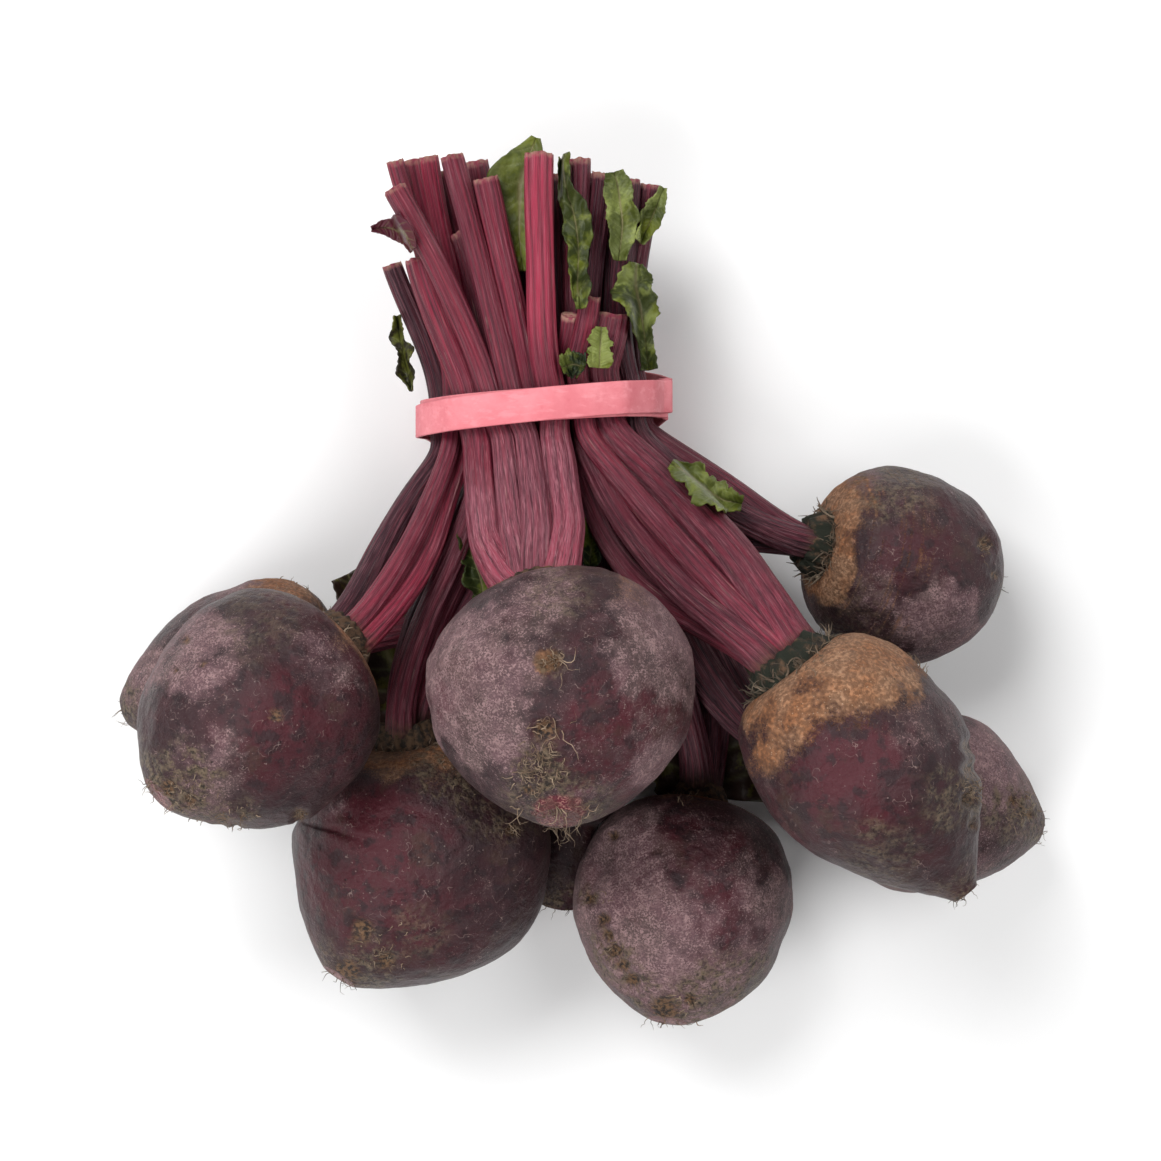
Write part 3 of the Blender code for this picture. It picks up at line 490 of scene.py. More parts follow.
# Each root's stalks: the radius, where the stalk passes the band (x, height), where it is cut (x, y, height),
# how far it bows out half-way between its root and the band, and how dusty, dark, and pink at the base it is;
# the dark value is the stalk's own dark colour, and on the stalks of the low roots behind it is also painted
# shade.
STALK_ROWS = {
    "left_top": (
        (3.0, (-42, 41), (-55, 92, 42), (-3, 4, 0), (0.5, 0.85, 0.0)),
        (2.8, (-38, 46), (-54, 121.5, 46), STRAIGHT, (0.2, 0.1, 0.5)),
        (3.9, (-37, 39), (-49, 122.5, 39), (4, -4, 0), (0.1, 0.0, 0.3)),
        (2.8, (-33, 44), (-44, 123, 45), (3, -2, -3), (0.15, 0.0, 0.6)),
    ),
    "front_top": (
        (4.7, (-33.5, 50), (-46, 93, 50), STRAIGHT, (0.15, 0.0, 1.0)),
        (3.4, (-26.5, 54), (-53, 112, 56), STRAIGHT, (0.35, 0.15, 0.6)),
        (3.3, (-20, 55.5), (-37, 122, 52), STRAIGHT, (0.3, 0.2, 0.5)),
        (3.8, (-14.5, 56), (-27.5, 115, 56), STRAIGHT, (0.35, 0.05, 0.9)),
        (4.3, (-6, 58), (-12, 121.5, 60), STRAIGHT, (0.0, 0.0, 1.0)),
    ),
    "right_top": (
        (3.4, (1, 54), (-0.5, 121.5, 51), (-3, -2, 0), (0.4, 0.45, 0.2)),
        (3.2, (6, 52), (3, 81, 58), STRAIGHT, (0.4, 0.15, 0.5)),
        (5.2, (12, 50), (9.5, 76, 53), (2, 2, 0), (0.45, 0.3, 0.4)),
        (3.2, (8, 47), (6.5, 117.5, 50), (2, 2, -4), (0.4, 0.75, 0.2)),
        (3.0, (0, 50), (-3, 76, 56), (-8, -9, -9), (0.4, 0.3, 0.9)),
    ),
    "right_back": (
        (2.8, (18.4, 43), (20, 115, 44), (2, 3, 4), (0.5, 0.6, 0.1)),
        (3.2, (16, 46), (14, 116, 48), STRAIGHT, (0.4, 0.8, 0.1)),
        (3.0, (18, 37), (17, 113, 38), (-3, -6, 0), (0.3, 0.9, 0.1)),
        (2.6, (14.5, 41), (11, 118, 42), (-5, -8, 0), (0.3, 0.9, 0.1)),
    ),
    "left_low": (
        (3.0, (-39, 34), (-47, 117, 31.5), (6, -8, 4), (0.5, 0.4, 0.2)),
        (3.2, (-33, 37), (-40, 120, 36), (9, -10, 4), (0.3, 0.3, 0.2)),
        (2.8, (-34, 30), (-39, 112, 27), (12, -14, -5), (0.5, 0.7, 0.1)),
    ),
    "front_left": (
        (3.2, (-27, 45), (-35, 101, 46), STRAIGHT, (0.3, 0.45, 0.3)),
        (3.4, (-25, 37), (-30, 122.5, 40), STRAIGHT, (0.3, 0.4, 0.3)),
        (3.2, (-26, 29), (-30, 116, 25), STRAIGHT, (0.5, 0.7, 0.1)),
        (3.2, (-18, 33), (-21, 119, 31), (6, 0, 0), (0.5, 0.6, 0.1)),
    ),
    "middle": (
        (3.0, (-15, 45), (-24, 119.5, 46), (0, 0, 4), (0.3, 0.5, 0.1)),
        (3.2, (-10, 38), (-13.5, 112, 38), (4, 0, 0), (0.4, 0.7, 0.1)),
        (2.8, (-14, 27), (-17, 117, 22), (-4, 0, 0), (0.5, 0.8, 0.1)),
    ),
    "front": (
        (3.2, (-3, 44), (-8, 118, 44), (4, 0, 6), (0.4, 0.7, 0.1)),
        (3.4, (-1, 35), (-4, 114, 33), (10, 0, 3), (0.4, 0.7, 0.1)),
        (3.0, (-6, 28), (-8, 119, 24), STRAIGHT, (0.5, 0.8, 0.1)),
        (3.0, (3, 28), (2, 116, 26), (12, 0, -4), (0.5, 0.8, 0.1)),
    ),
    "right_low": (
        (3.0, (8, 38), (5, 119, 38), (-2, -4, 8), (0.4, 0.8, 0.1)),
        (3.2, (10, 30), (9, 112, 30), (2, -2, 0), (0.5, 0.8, 0.1)),
        (2.6, (4.5, 22), (4, 108, 20), (-4, -8, -3), (0.5, 0.8, 0.1)),
    ),
}
STALKS = [Stalk(root_name, *row) for root_name, rows in STALK_ROWS.items() for row in rows]
# The stalks that are brightest above the band, by their place in the order above.
FRESH_STALKS = {2: 0.15, 3: 0.30, 8: 0.65}
STALK_STEPS = 34  # points along a stalk while it finds its way
AT_BAND = 21  # the one that the band holds
STALK_FLARE = 1.45  # how much wider a stalk is where it grows from the crown than at the band
BOSS_DEPTH = 6.0  # height of the crown's boss
CROWN_SPREAD = 0.95  # how near the crown's edge its outer stalks stand
LEAVE_PULL = 0.75  # how far a stalk keeps its root's direction, and then the bundle's, as shares of the way
BAND_PULL = 0.75
GAP = 0.35
BAND_WIDTH = 9.5
TUBE_RINGS = 76
TUBE_SIDES = 56


def hermite(start, start_pull, end, end_pull, count):
    t = np.linspace(0.0, 1.0, count)[:, None]
    return ((2 * t**3 - 3 * t**2 + 1) * start + (t**3 - 2 * t**2 + t) * start_pull
            + (3 * t**2 - 2 * t**3) * end + (t**3 - t**2) * end_pull)


def band_centre_y(x):
    return BAND_Y + BAND_TILT * (x - BAND_MIDDLE[0])


def first_routes():
    """Every stalk's route from crown to cut end, through the band, before they make room for each other."""
    routes = []
    for stalk in STALKS:
        root = ROOTS[stalk.root]
        along, across, up = root_frame(root, -1.0)
        crown = np.array(root.centre) - along * (root.crown + GAP)
        mates = np.array([s.slot for s in STALKS if s.root == stalk.root])
        middle = np.mean(mates, axis=0)
        spread = np.array(stalk.slot) - middle
        reach = max(np.linalg.norm(mate - middle) for mate in mates)
        offset = np.array((spread[0], 0.0, spread[1]))
        offset = offset - along * offset.dot(along)
        offset *= (root.crown_radius - stalk.radius * STALK_FLARE) * CROWN_SPREAD / max(reach, 1.0)
        start = crown + offset - along * BOSS_DEPTH / 2
        slot = np.array((stalk.slot[0], band_centre_y(stalk.slot[0]), stalk.slot[1]))
        top = np.array(stalk.top)
        span = np.linalg.norm(slot - start)
        flow = unit(unit(top - slot) + unit(slot - start))
        below = hermite(start, -along * span * LEAVE_PULL, slot, flow * span * BAND_PULL, AT_BAND + 1)
        below += np.array(stalk.bow) * np.sin(np.linspace(0.0, math.pi, AT_BAND + 1))[:, None] ** 2
        above = hermite(slot, flow * np.linalg.norm(top - slot), top, unit(top - slot) * 40.0,
                        STALK_STEPS - AT_BAND)
        routes.append(np.vstack((below, above[1:])))
    return np.array(routes)


def flared_radii():
    """Each stalk's radius at every step: widest at the crown, its own at the band and above."""
    radii = np.array([s.radius for s in STALKS])
    left = np.clip(1.0 - np.arange(STALK_STEPS) / AT_BAND, 0.0, 1.0)
    return radii[:, None] * (1.0 + (STALK_FLARE - 1.0) * left[None, :] ** 1.2)


def root_balls():
    """Balls that stand for the roots while the stalks find their way."""
    balls = []
    for name, root in ROOTS.items():
        for w in (-0.35, 0.0, 0.4, 0.75):
            length, wide = root_profile(root, w)
            along, across, up = root_frame(root, w)
            wide = min(wide, root.crown + length) if w < 0 else wide
            balls.append((name, np.array(root.centre) + along * length, wide * (1.0 + LUMP)))
    return balls


SETTLE_TURNS = 360  # rounds of small moves in which the stalks make room for each other
SMOOTH_TURNS = 330  # the rounds among them that also keep the routes smooth
SEARCH_EVERY = 6  # rounds between searches for stalks that are near each other
NEAR = 16.0  # how near two points count as near
BUNCHED_STEPS = 7  # first steps, where the stalks of one crown may lie deep in each other
CROWN_STEPS = 9  # first steps, where a stalk may touch its own root
CLEARANCE = 1.2  # room between the stalks of different roots, and between a stalk and a root
STALK_ROOTS = np.array([list(ROOTS).index(s.root) for s in STALKS])


def settle(routes):
    """Moves the routes until no stalk runs through another, a root or the surface, and all fit the band."""
    count, steps, _ = routes.shape
    radii = np.array([s.radius for s in STALKS])
    owner = np.repeat(np.arange(count), steps)
    order = np.tile(np.arange(steps), count)
    size = flared_radii().reshape(-1)
    first = routes.copy()
    balls = root_balls()
    slots = np.array([s.slot for s in STALKS])
    half = np.array(BUNDLE_HALF)[None, None, :] - radii[:, None, None] * 0.85
    middle = np.array(BAND_MIDDLE)
    for turn in range(SETTLE_TURNS):
        flat = routes.reshape(-1, 3)
        if turn % SEARCH_EVERY == 0:
            away = flat[:, None, :] - flat[None, :, :]
            near = (away**2).sum(axis=2) < NEAR**2
            near &= owner[:, None] < owner[None, :]
            one, two = np.nonzero(near)
            same = STALK_ROOTS[owner[one]] == STALK_ROOTS[owner[two]]
            early = np.minimum(order[one], order[two]) < BUNCHED_STEPS
            room = np.where(same, np.where(early, 0.45, 0.92), 1.0)
            wanted = (size[one] + size[two]) * room + np.where(same, 0.0, CLEARANCE)
        apart = flat[one] - flat[two]
        distance = np.maximum(np.linalg.norm(apart, axis=1), 1e-6)
        push = np.maximum(wanted - distance, 0.0) / distance * 0.42
        move = np.zeros_like(flat)
        hits = np.zeros(len(flat))
        np.add.at(move, one, apart * push[:, None])
        np.add.at(move, two, -apart * push[:, None])
        np.add.at(hits, one, push > 0)
        np.add.at(hits, two, push > 0)
        flat = flat + move / np.maximum(hits, 1.0)[:, None] * np.minimum(hits, 2.0)[:, None]
        for name, centre, wide in balls:
            own = np.array([s.root == name for s in STALKS])[owner] & (order < CROWN_STEPS)
            out = flat - centre
            far = np.maximum(np.linalg.norm(out, axis=1), 1e-6)
            short = np.where(own, 0.0, np.maximum(wide + size + CLEARANCE - far, 0.0))
            flat += out / far[:, None] * short[:, None] * 0.6
        flat[:, 2] = np.maximum(flat[:, 2], size + 0.4)
        routes = flat.reshape(count, steps, 3)
        # The band squeezes the stalks into its oval.
        across = (routes[:, :, [0, 2]] - middle) / half
        outside = np.maximum(np.linalg.norm(across, axis=2), 1.0)
        under = np.abs(routes[:, :, 1] - band_centre_y(routes[:, :, 0])) < BAND_WIDTH + 1.5
        outside = np.where(under, outside, 1.0)[:, :, None]
        routes[:, :, [0, 2]] = middle + (routes[:, :, [0, 2]] - middle) / outside
        held = routes[:, AT_BAND, :]
        held[:, [0, 2]] += 0.04 * (slots - held[:, [0, 2]])
        held[:, 1] = band_centre_y(held[:, 0])
        if turn < SMOOTH_TURNS:
            bend = routes - first
            routes[:, 1:-1] += ((bend[:, :-2] + bend[:, 2:]) / 2.0 - bend[:, 1:-1]) * 0.45
        routes[:, :2] = first[:, :2]
        routes[:, -1] += 0.1 * (first[:, -1] - routes[:, -1])
    return routes


def slim_radii(routes):
    """Each stalk's radius along its route, pressed slimmer wherever a stalk of another root touches it."""
    wide = flared_radii()
    slim = wide.copy()
    for a in range(len(routes)):
        for b in np.nonzero(STALK_ROOTS != STALK_ROOTS[a])[0]:
            start = routes[b, :-1][None, :, :]
            run = routes[b, 1:][None, :, :] - start
            out = routes[a][:, None, :] - start
            t = np.clip((out * run).sum(axis=2) / np.maximum((run * run).sum(axis=2), 1e-9), 0.0, 1.0)
            distance = np.linalg.norm(out - run * t[:, :, None], axis=2)
            nearest = distance.argmin(axis=1)
            least = distance.min(axis=1)
            share = wide[a] / (wide[a] + wide[b][nearest])
            slim[a] = np.minimum(slim[a], (least - GAP) * share)
    padded = np.pad(slim, ((0, 0), (1, 1)), mode="edge")
    slim = np.minimum(slim, np.minimum(padded[:, :-2], padded[:, 2:]))
    return np.maximum(slim, 0.8)


def run_along(points):
    """How far along a polyline each of its points lies."""
    return np.concatenate(([0.0], np.cumsum(np.linalg.norm(np.diff(points[:, :3], axis=0), axis=1))))


def resample(points, count):
    """Points evenly spaced along a polyline, with the values that come with each."""
    lengths = run_along(points)
    at = np.linspace(0.0, lengths[-1], count)
    return np.stack([np.interp(at, lengths, points[:, k]) for k in range(points.shape[1])], axis=1)


def stalk_paint():
    stalk = Finish("beet_stalk_finish")
    lay = stalk.own("lay", "Vector")
    fine = stalk.patchy(2.6, 0.36, 0.66, 5.0, lay)
    broad = stalk.patchy(0.75, 0.36, 0.64, 3.0, lay)
    thread = stalk.patchy(7.0, 0.54, 0.62, 1.0, lay)
    line = stalk.patchy(5.0, 0.44, 0.36, 1.0, lay)
    stalk.colour = stalk.mix(broad, (0.205, 0.0075, 0.026), (0.095, 0.0050, 0.020))
    stalk.coat((0.290, 0.018, 0.050), fine, 0.55)
    stalk.coat((0.430, 0.034, 0.078), stalk.own("pink"))
    patches = stalk.plus(stalk.times(stalk.patchy(160.0, 0.35, 0.65, 6.0), 0.6), 0.3)
    dusty = stalk.times(stalk.own("dusty"), patches, True)
    stalk.coat((0.130, 0.024, 0.040), dusty)
    pale, dark = stalk.own("pale"), stalk.own("dark")
    stalk.coat((0.330, 0.125, 0.165), pale, stalk.plus(stalk.times(fine, 0.5), 0.3))
    # The dark coat: the near-black of dried stalks, and painted shade on the low stalks behind.
    stalk.coat((0.022, 0.005, 0.011), dark, stalk.plus(fine, 0.55), True)
    # Painted shade: the furrows between the ribs darkened.
    stalk.coat((0.030, 0.003, 0.009), stalk.own("furrow_shade"), stalk.plus(stalk.times(broad, 0.4), 0.45))
    stalk.coat((0.040, 0.004, 0.011), line, 0.65)
    stalk.coat((0.480, 0.190, 0.230), thread, stalk.plus(stalk.times(pale, 0.45), 0.25), True)
    scuff = stalk.times(stalk.patchy(1.6, 0.60, 0.68, 8.0, lay), stalk.patchy(90.0, 0.48, 0.60))
    stalk.coat((0.320, 0.200, 0.175), scuff, 0.6)
    # The crown's bark, and the paler rim of the cut ends.
    crown, cut = stalk.own("crown"), stalk.own("cut")
    bark = stalk.mix(stalk.patchy(520.0, 0.38, 0.60, 5.0), (0.026, 0.016, 0.012), (0.150, 0.082, 0.046))
    bark = stalk.mix(stalk.times(dark, stalk.patchy(240.0, 0.30, 0.55)), bark, (0.013, 0.016, 0.009))
    stalk.coat(bark, crown)
    rim = stalk.mix(stalk.patchy(650.0, 0.40, 0.60), (0.330, 0.060, 0.095), (0.430, 0.240, 0.180))
    stalk.coat(rim, cut)
    rough = stalk.plus(stalk.times(dusty, 0.30), 0.36)
    rough = stalk.plus(rough, stalk.times(stalk.plus(crown, cut), 0.4), True)
    height = stalk.plus(fine, stalk.times(thread, 0.5))
    height = stalk.plus(height, stalk.times(stalk.patchy(500.0, 0.3, 0.7, 5.0), 0.5))
    return stalk.done(rough, 0.35, height, 0.55, 0.00030)


def curve_through(points, count):
    """Points evenly spaced along a smooth curve (Catmull-Rom) through the given ones, with their values."""
    padded = np.vstack((2 * points[0] - points[1], points, 2 * points[-1] - points[-2]))
    fine = []
    for a, b, c, d in zip(padded, padded[1:], padded[2:], padded[3:]):
        for t in np.arange(6) / 6:
            fine.append(0.5 * (2 * b + (c - a) * t + (2 * a - 5 * b + 4 * c - d) * t**2
                               + (3 * b - a - 3 * c + d) * t**3))
    fine.append(points[-1])
    return resample(np.array(fine), count)


GRAIN_STRETCH = 0.0085  # how little the streaks change along a stalk, beside how they change round it
PINK_FADE = (0.27, 0.02)  # the shares of a stalk's length between which the pink of its base comes in
PALE_FADE = (0.42, 0.30)  # the same for the pale lower part of the front top root's stalks
PAST_BAND = (0.52, 0.68)  # the shares between which a stalk leaves the band


def stalk_tube(index, line):
    """One stalk's skin as points, faces and the values that its colours follow."""
    seed = index * 7.31
    middle, radius = line[:, :3], line[:, 3]
    along = np.gradient(middle, axis=0)
    along /= np.linalg.norm(along, axis=1)[:, None]
    side = np.zeros_like(middle)
    side[0] = unit(np.cross(along[0], (0.0, 0.0, 1.0)))
    for i in range(1, len(middle)):
        side[i] = unit(side[i - 1] - along[i] * side[i - 1].dot(along[i]))
    up = np.cross(side, along)
    turns = np.arange(TUBE_SIDES) * math.tau / TUBE_SIDES
    run = run_along(middle)
    ribs = 10 + index * 5 % 4
    groove = math.pi / 2 + 2.2 * math.sin(seed)
    points, lay, furrow_shade = [], [], []
    for i in range(TUBE_RINGS):
        drift = 0.35 * noise.noise(Vector((run[i] * 0.03, seed, 0.0)))
        swell = 1.0 + 0.05 * noise.noise(Vector((run[i] * 0.06, seed, 4.0)))
        bend = turns + drift
        rib = 0.5 + 0.5 * np.cos(bend * ribs + 1.3 * np.sin(bend + seed))
        fine = 0.5 + 0.5 * np.cos(bend * (ribs + 7) + seed)
        hollow = np.exp(-((np.mod(bend - groove + math.pi, math.tau) - math.pi) ** 2) * 2.6)
        wide = radius[i] * swell * (0.905 + 0.085 * rib + 0.02 * fine - 0.17 * hollow)
        if i >= TUBE_RINGS - 1:
            wide = wide * 0.97
        ragged = 0.0
        if i >= TUBE_RINGS - 2:
            ragged = [0.5 * radius[i] * 0.3 * noise.noise(Vector((math.cos(t) * 2, math.sin(t) * 2, seed)))
                      for t in turns]
            ragged = np.array(ragged)[:, None]
        ring = (middle[i] + side[i] * (1.05 * wide * np.cos(turns))[:, None]
                + up[i] * (0.90 * wide * np.sin(turns))[:, None])
        points.append(ring + along[i] * ragged)
        lay.append(np.stack((np.cos(turns) * radius[i] + seed, np.sin(turns) * radius[i] + seed,
                             np.full(TUBE_SIDES, run[i] * GRAIN_STRETCH)), axis=-1))
        # How deep in a furrow between the ribs each point lies: where shade is painted.
        furrow_shade.append((1.0 - rib) ** 5)
    points, lay, furrow_shade = np.array(points), np.array(lay), np.array(furrow_shade)
    cap = points[-1].mean(axis=0)
    inner = cap + (points[-1] - cap) * 0.78 - along[-1] * 0.35
    ends = np.array((cap - along[-1] * 0.6, points[0].mean(axis=0)))
    points = np.vstack((points.reshape(-1, 3), inner, ends))
    count = TUBE_RINGS * TUBE_SIDES
    extra = TUBE_SIDES + len(ends)
    share = np.repeat(run / run[-1], TUBE_SIDES)
    dusty, dark, pink = STALKS[index].look
    past_band = soft(share, *PAST_BAND)
    fresh = FRESH_STALKS.get(index, 0.0)
    values = {
        "furrow_shade": furrow_shade.reshape(-1),
        "dusty": np.clip(dusty + 0.20 * (1.0 - past_band) - 0.25 * past_band, 0, 1),
        "pink": np.maximum(pink * soft(share, *PINK_FADE), fresh * past_band),
        "pale": 0.70 * (STALKS[index].root == "front_top") * soft(share, *PALE_FADE),
        "crown": 0.8 * soft(share, 0.045, 0.0),
    }
    values = {key: np.append(data, np.zeros(extra)) for key, data in values.items()}
    values["lay"] = np.vstack((lay.reshape(-1, 3), np.repeat(lay[-1].mean(axis=0)[None], extra, axis=0)))
    values["dark"] = np.full(count + extra, dark)
    values["cut"] = np.append(0.9 * soft(share, 0.990, 1.0), np.ones(extra))
    faces = grid_faces(TUBE_RINGS, TUBE_SIDES)
    last = count - TUBE_SIDES
    for j in range(TUBE_SIDES):
        k = (j + 1) % TUBE_SIDES
        faces.append((last + j, last + k, count + k, count + j))
        faces.append((count + j, count + k, count + TUBE_SIDES))
        faces.append((k, j, count + TUBE_SIDES + 1))
    return points, faces, values


def crown_cap(name, root):
    """The crown: a low rough cone with radial folds, as points, faces and values."""
    along, across, up = root_frame(root, -1.0)
    top = np.array(root.centre) - along * root.crown
    sides, rings = 96, 14
    turns = np.arange(sides) * math.tau / sides
    points = []
    for i in range(rings):
        t = i / (rings - 1)
        wide = root.crown_radius * (1.02 - 0.30 * t**1.4)
        rise = (BOSS_DEPTH + 0.3) * t
        folds = np.array([noise.noise(Vector((math.cos(a) * 5, math.sin(a) * 5, t * 0.8 + root.radius)))
                          for a in turns])
        reach = wide * (1.0 + 0.10 * folds)
        lift = rise + 0.9 * folds * t
        points.append(top - along * lift[:, None] + across * (reach * np.cos(turns))[:, None]
                      + up * (reach * np.sin(turns))[:, None])
    points = np.vstack((np.array(points).reshape(-1, 3), (top - along * BOSS_DEPTH * 0.8)[None]))
    faces = grid_faces(rings, sides)
    last = (rings - 1) * sides
    faces += [(last + j, last + (j + 1) % sides, rings * sides) for j in range(sides)]
    values = {key: np.zeros(len(points))
              for key in ("furrow_shade", "dusty", "dark", "pink", "pale", "crown", "cut")}
    values["crown"] += 1.0
    values["dark"] += 1.0 if name in ("right_top", "right_back") else 0.3
    values["lay"] = points
    return points, faces, values


STALK_PAINT = stalk_paint()
ROUTES = settle(first_routes())
for route in ROUTES:
    for _ in range(2):
        route[1:-1] = (route[:-2] + 2.0 * route[1:-1] + route[2:]) / 4.0
RADII = slim_radii(ROUTES)
for root_name, root in ROOTS.items():
    sets = [crown_cap(root_name, root)]
    for index, stalk in enumerate(STALKS):
        if stalk.root == root_name:
            line = curve_through(np.column_stack((ROUTES[index], RADII[index])), TUBE_RINGS)
            sets.append(stalk_tube(index, line))
    faces, start = [], 0
    for points, some_faces, _ in sets:
        faces += [tuple(k + start for k in face) for face in some_faces]
        start += len(points)
    values = {key: np.concatenate([some[key] for _, _, some in sets]) for key in sets[0][2]}
    points = np.vstack([some for some, _, _ in sets])
    made = plain_mesh("beet_stalks_" + root_name, points, faces, STALK_PAINT, values)
    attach(made, "root")
    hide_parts("stalks_" + root_name)

# The leaf remnants: torn strips of blade left on the trimmed stalks, glossy green above and paler below, with
# a red midrib, fine side veins, waved and toothed edges. Each lies over the stalks under it.
# The last four numbers of each are how pale it is, how much painted shade it has, how red it is and how
# ragged it is.
Leaf = namedtuple("Leaf", "midline half_widths height wave waves look")
LEAVES = {
    "leaf_big_blade": Leaf(((-16.5, 89), (-17.5, 98), (-17.5, 107), (-17, 115.5), (-12.8, 127.5)),
                           (1.4, 4, 6.6, 9, 1.2), 50.6, 0.4, 1.5, (0.2, 0.45, 0.0, 0.25)),
    "leaf_wavy_strip": Leaf(((-5.2, 122), (-4, 112), (-1.5, 103), (-0.6, 94), (-0.8, 85), (0, 77)),
                            (1.6, 2.6, 3.6, 3, 3, 1.6), None, 0.9, 4, (0.2, 0.75, 0.0, 1.0)),
    "leaf_right_blade": Leaf(((9.6, 117), (11.2, 110), (12, 102), (11, 92)), (2.4, 4.4, 4.2, 1.8), None,
                             0.9, 2, (0.8, 0.55, 0.0, 0.6)),
    "leaf_right_tongue": Leaf(((17, 97.5), (19.6, 102.5), (21.7, 107.5), (24, 113.5)), (1.4, 2.8, 2.8, 1),
                              None, 0.9, 1.5, (0.9, 0.45, 0.0, 0.5)),
    "leaf_right_droop": Leaf(((16, 91.5), (15.8, 85), (17.6, 77), (18.8, 69), (20, 61)),
                             (2.4, 5.4, 4.8, 2.6, 2.2), None, 0.8, 3, (0.7, 0.75, 0.0, 0.9)),
    "leaf_band_scrap": Leaf(((5.8, 72), (5.6, 67), (5.4, 60.5)), (1.6, 3.4, 2.6), None, 0.5, 1.5,
                            (0.65, 0.1, 0.0, 0.7)),
    "leaf_band_curl": Leaf(((-5.4, 60.4), (-2.2, 61.4), (1.2, 60.4)), (1.8, 3.4, 1.8), None, 0.6, 2,
                           (0.2, 0.95, 0.0, 1.5)),
    "leaf_stalk_scrap": Leaf(((25.5, 33), (32, 28.5), (39, 24), (46.5, 22)), (2, 4.6, 4.8, 1.8), None, 0.9,
                             2.5, (0.45, 0.4, 0.0, 1.1)),
    "leaf_left_scrap": Leaf(((-53.3, 77), (-52.5, 70), (-50.6, 62), (-49, 55)), (1, 2, 2.2, 1), 41, 1.2, 2,
                            (0.1, 1.1, 0.15, 1.2)),
    "leaf_left_curl": Leaf(((-47.5, 94), (-50.5, 99.5), (-55.5, 102), (-60.5, 101.5)), (1.2, 2.6, 2.6, 0.7),
                           None, 0.6, 1, (0.0, 0.7, 1.0, 0.1)),
}
# Near-black sheets laid low in the gaps between the roots and stalks: painted shade, standing for the deep
# shade in those gaps.
SHADE_SHEETS = {
    "shade_sheet_left": Leaf(((-70, 2), (-62, -14), (-55, -30), (-52, -44)), (5, 11, 13, 8), 13, 3, 1.5,
                          (0.0, 1.6, 0.3, 0.6)),
    "shade_sheet_right": Leaf(((33, -4), (39, -26), (41, -46), (40, -66)), (8, 17, 21, 21), 7, 3, 1.3,
                           (0.0, 1.6, 0.3, 0.6)),
    "shade_sheet_middle": Leaf(((-34, 14), (-31, 6), (-28.5, -1), (-28, -8)), (1.5, 3, 4, 2), 48, 1, 1,
                            (0.1, 0.8, 0.0, 0.8)),
    "shade_sheet_centre": Leaf(((4, 22), (3.5, 15), (3, 9), (2.5, 3)), (1.5, 2.6, 3, 1.5), 47, 1, 1,
                            (0.1, 1.0, 0.0, 0.8)),
}
BLADE_STEPS = 84
BLADE_SIDES = 30


def leaf_paint():
    blade = Finish("beet_leaf_finish")
    broad = blade.patchy(110.0, 0.36, 0.62, 5.0)
    blade.colour = blade.mix(broad, (0.058, 0.074, 0.006), (0.125, 0.145, 0.014))
    blade.coat((0.265, 0.305, 0.088), blade.own("pale"), blade.patchy(120.0, 0.42, 0.56))
    # Painted shade: near-black green laid on in patches, as much as each leaf's shade value gives.
    deep = blade.plus(blade.times(blade.patchy(150.0, 0.40, 0.54), 0.85), 0.25)
    blade.coat((0.012, 0.019, 0.007), blade.own("shade"), deep, True)
    blade.coat((0.085, 0.008, 0.026), blade.own("red"), 0.85, True)
    vein = blade.own("vein")
    blade.coat((0.240, 0.255, 0.110), vein, 0.45)
    height = blade.maths("SUBTRACT", blade.patchy(420.0, 0.25, 0.75), vein)
    return blade.done(0.45, 0.25, height, 0.5, 0.00035)


def over_stalks(grid):
    """The height of what lies under each point of a blade, with the steps between stalks smoothed."""
    apart = np.hypot(TOPS[:, 0] - grid[:, :, 0, None], TOPS[:, 1] - grid[:, :, 1, None])
    above = np.where(apart < TOPS[:, 3] + 1.2, TOPS[:, 2] + TOPS[:, 3], -99.0).max(axis=2)
    above = np.where(above < 0, above[above > 0].min(), above)
    for _ in range(14):
        padded = np.pad(above, 1, mode="edge")
        around = (padded[:-2, 1:-1] + padded[2:, 1:-1] + padded[1:-1, :-2] + padded[1:-1, 2:]) / 4.0
        above = np.maximum(above * 0.4 + around * 0.6, around)
    return above


def bake(made):
    """Makes an object with modifiers a plain mesh."""
    bpy.context.view_layer.update()
    plain = bpy.data.meshes.new_from_object(made.evaluated_get(bpy.context.evaluated_depsgraph_get()))
    made.modifiers.clear()
    made.data = plain


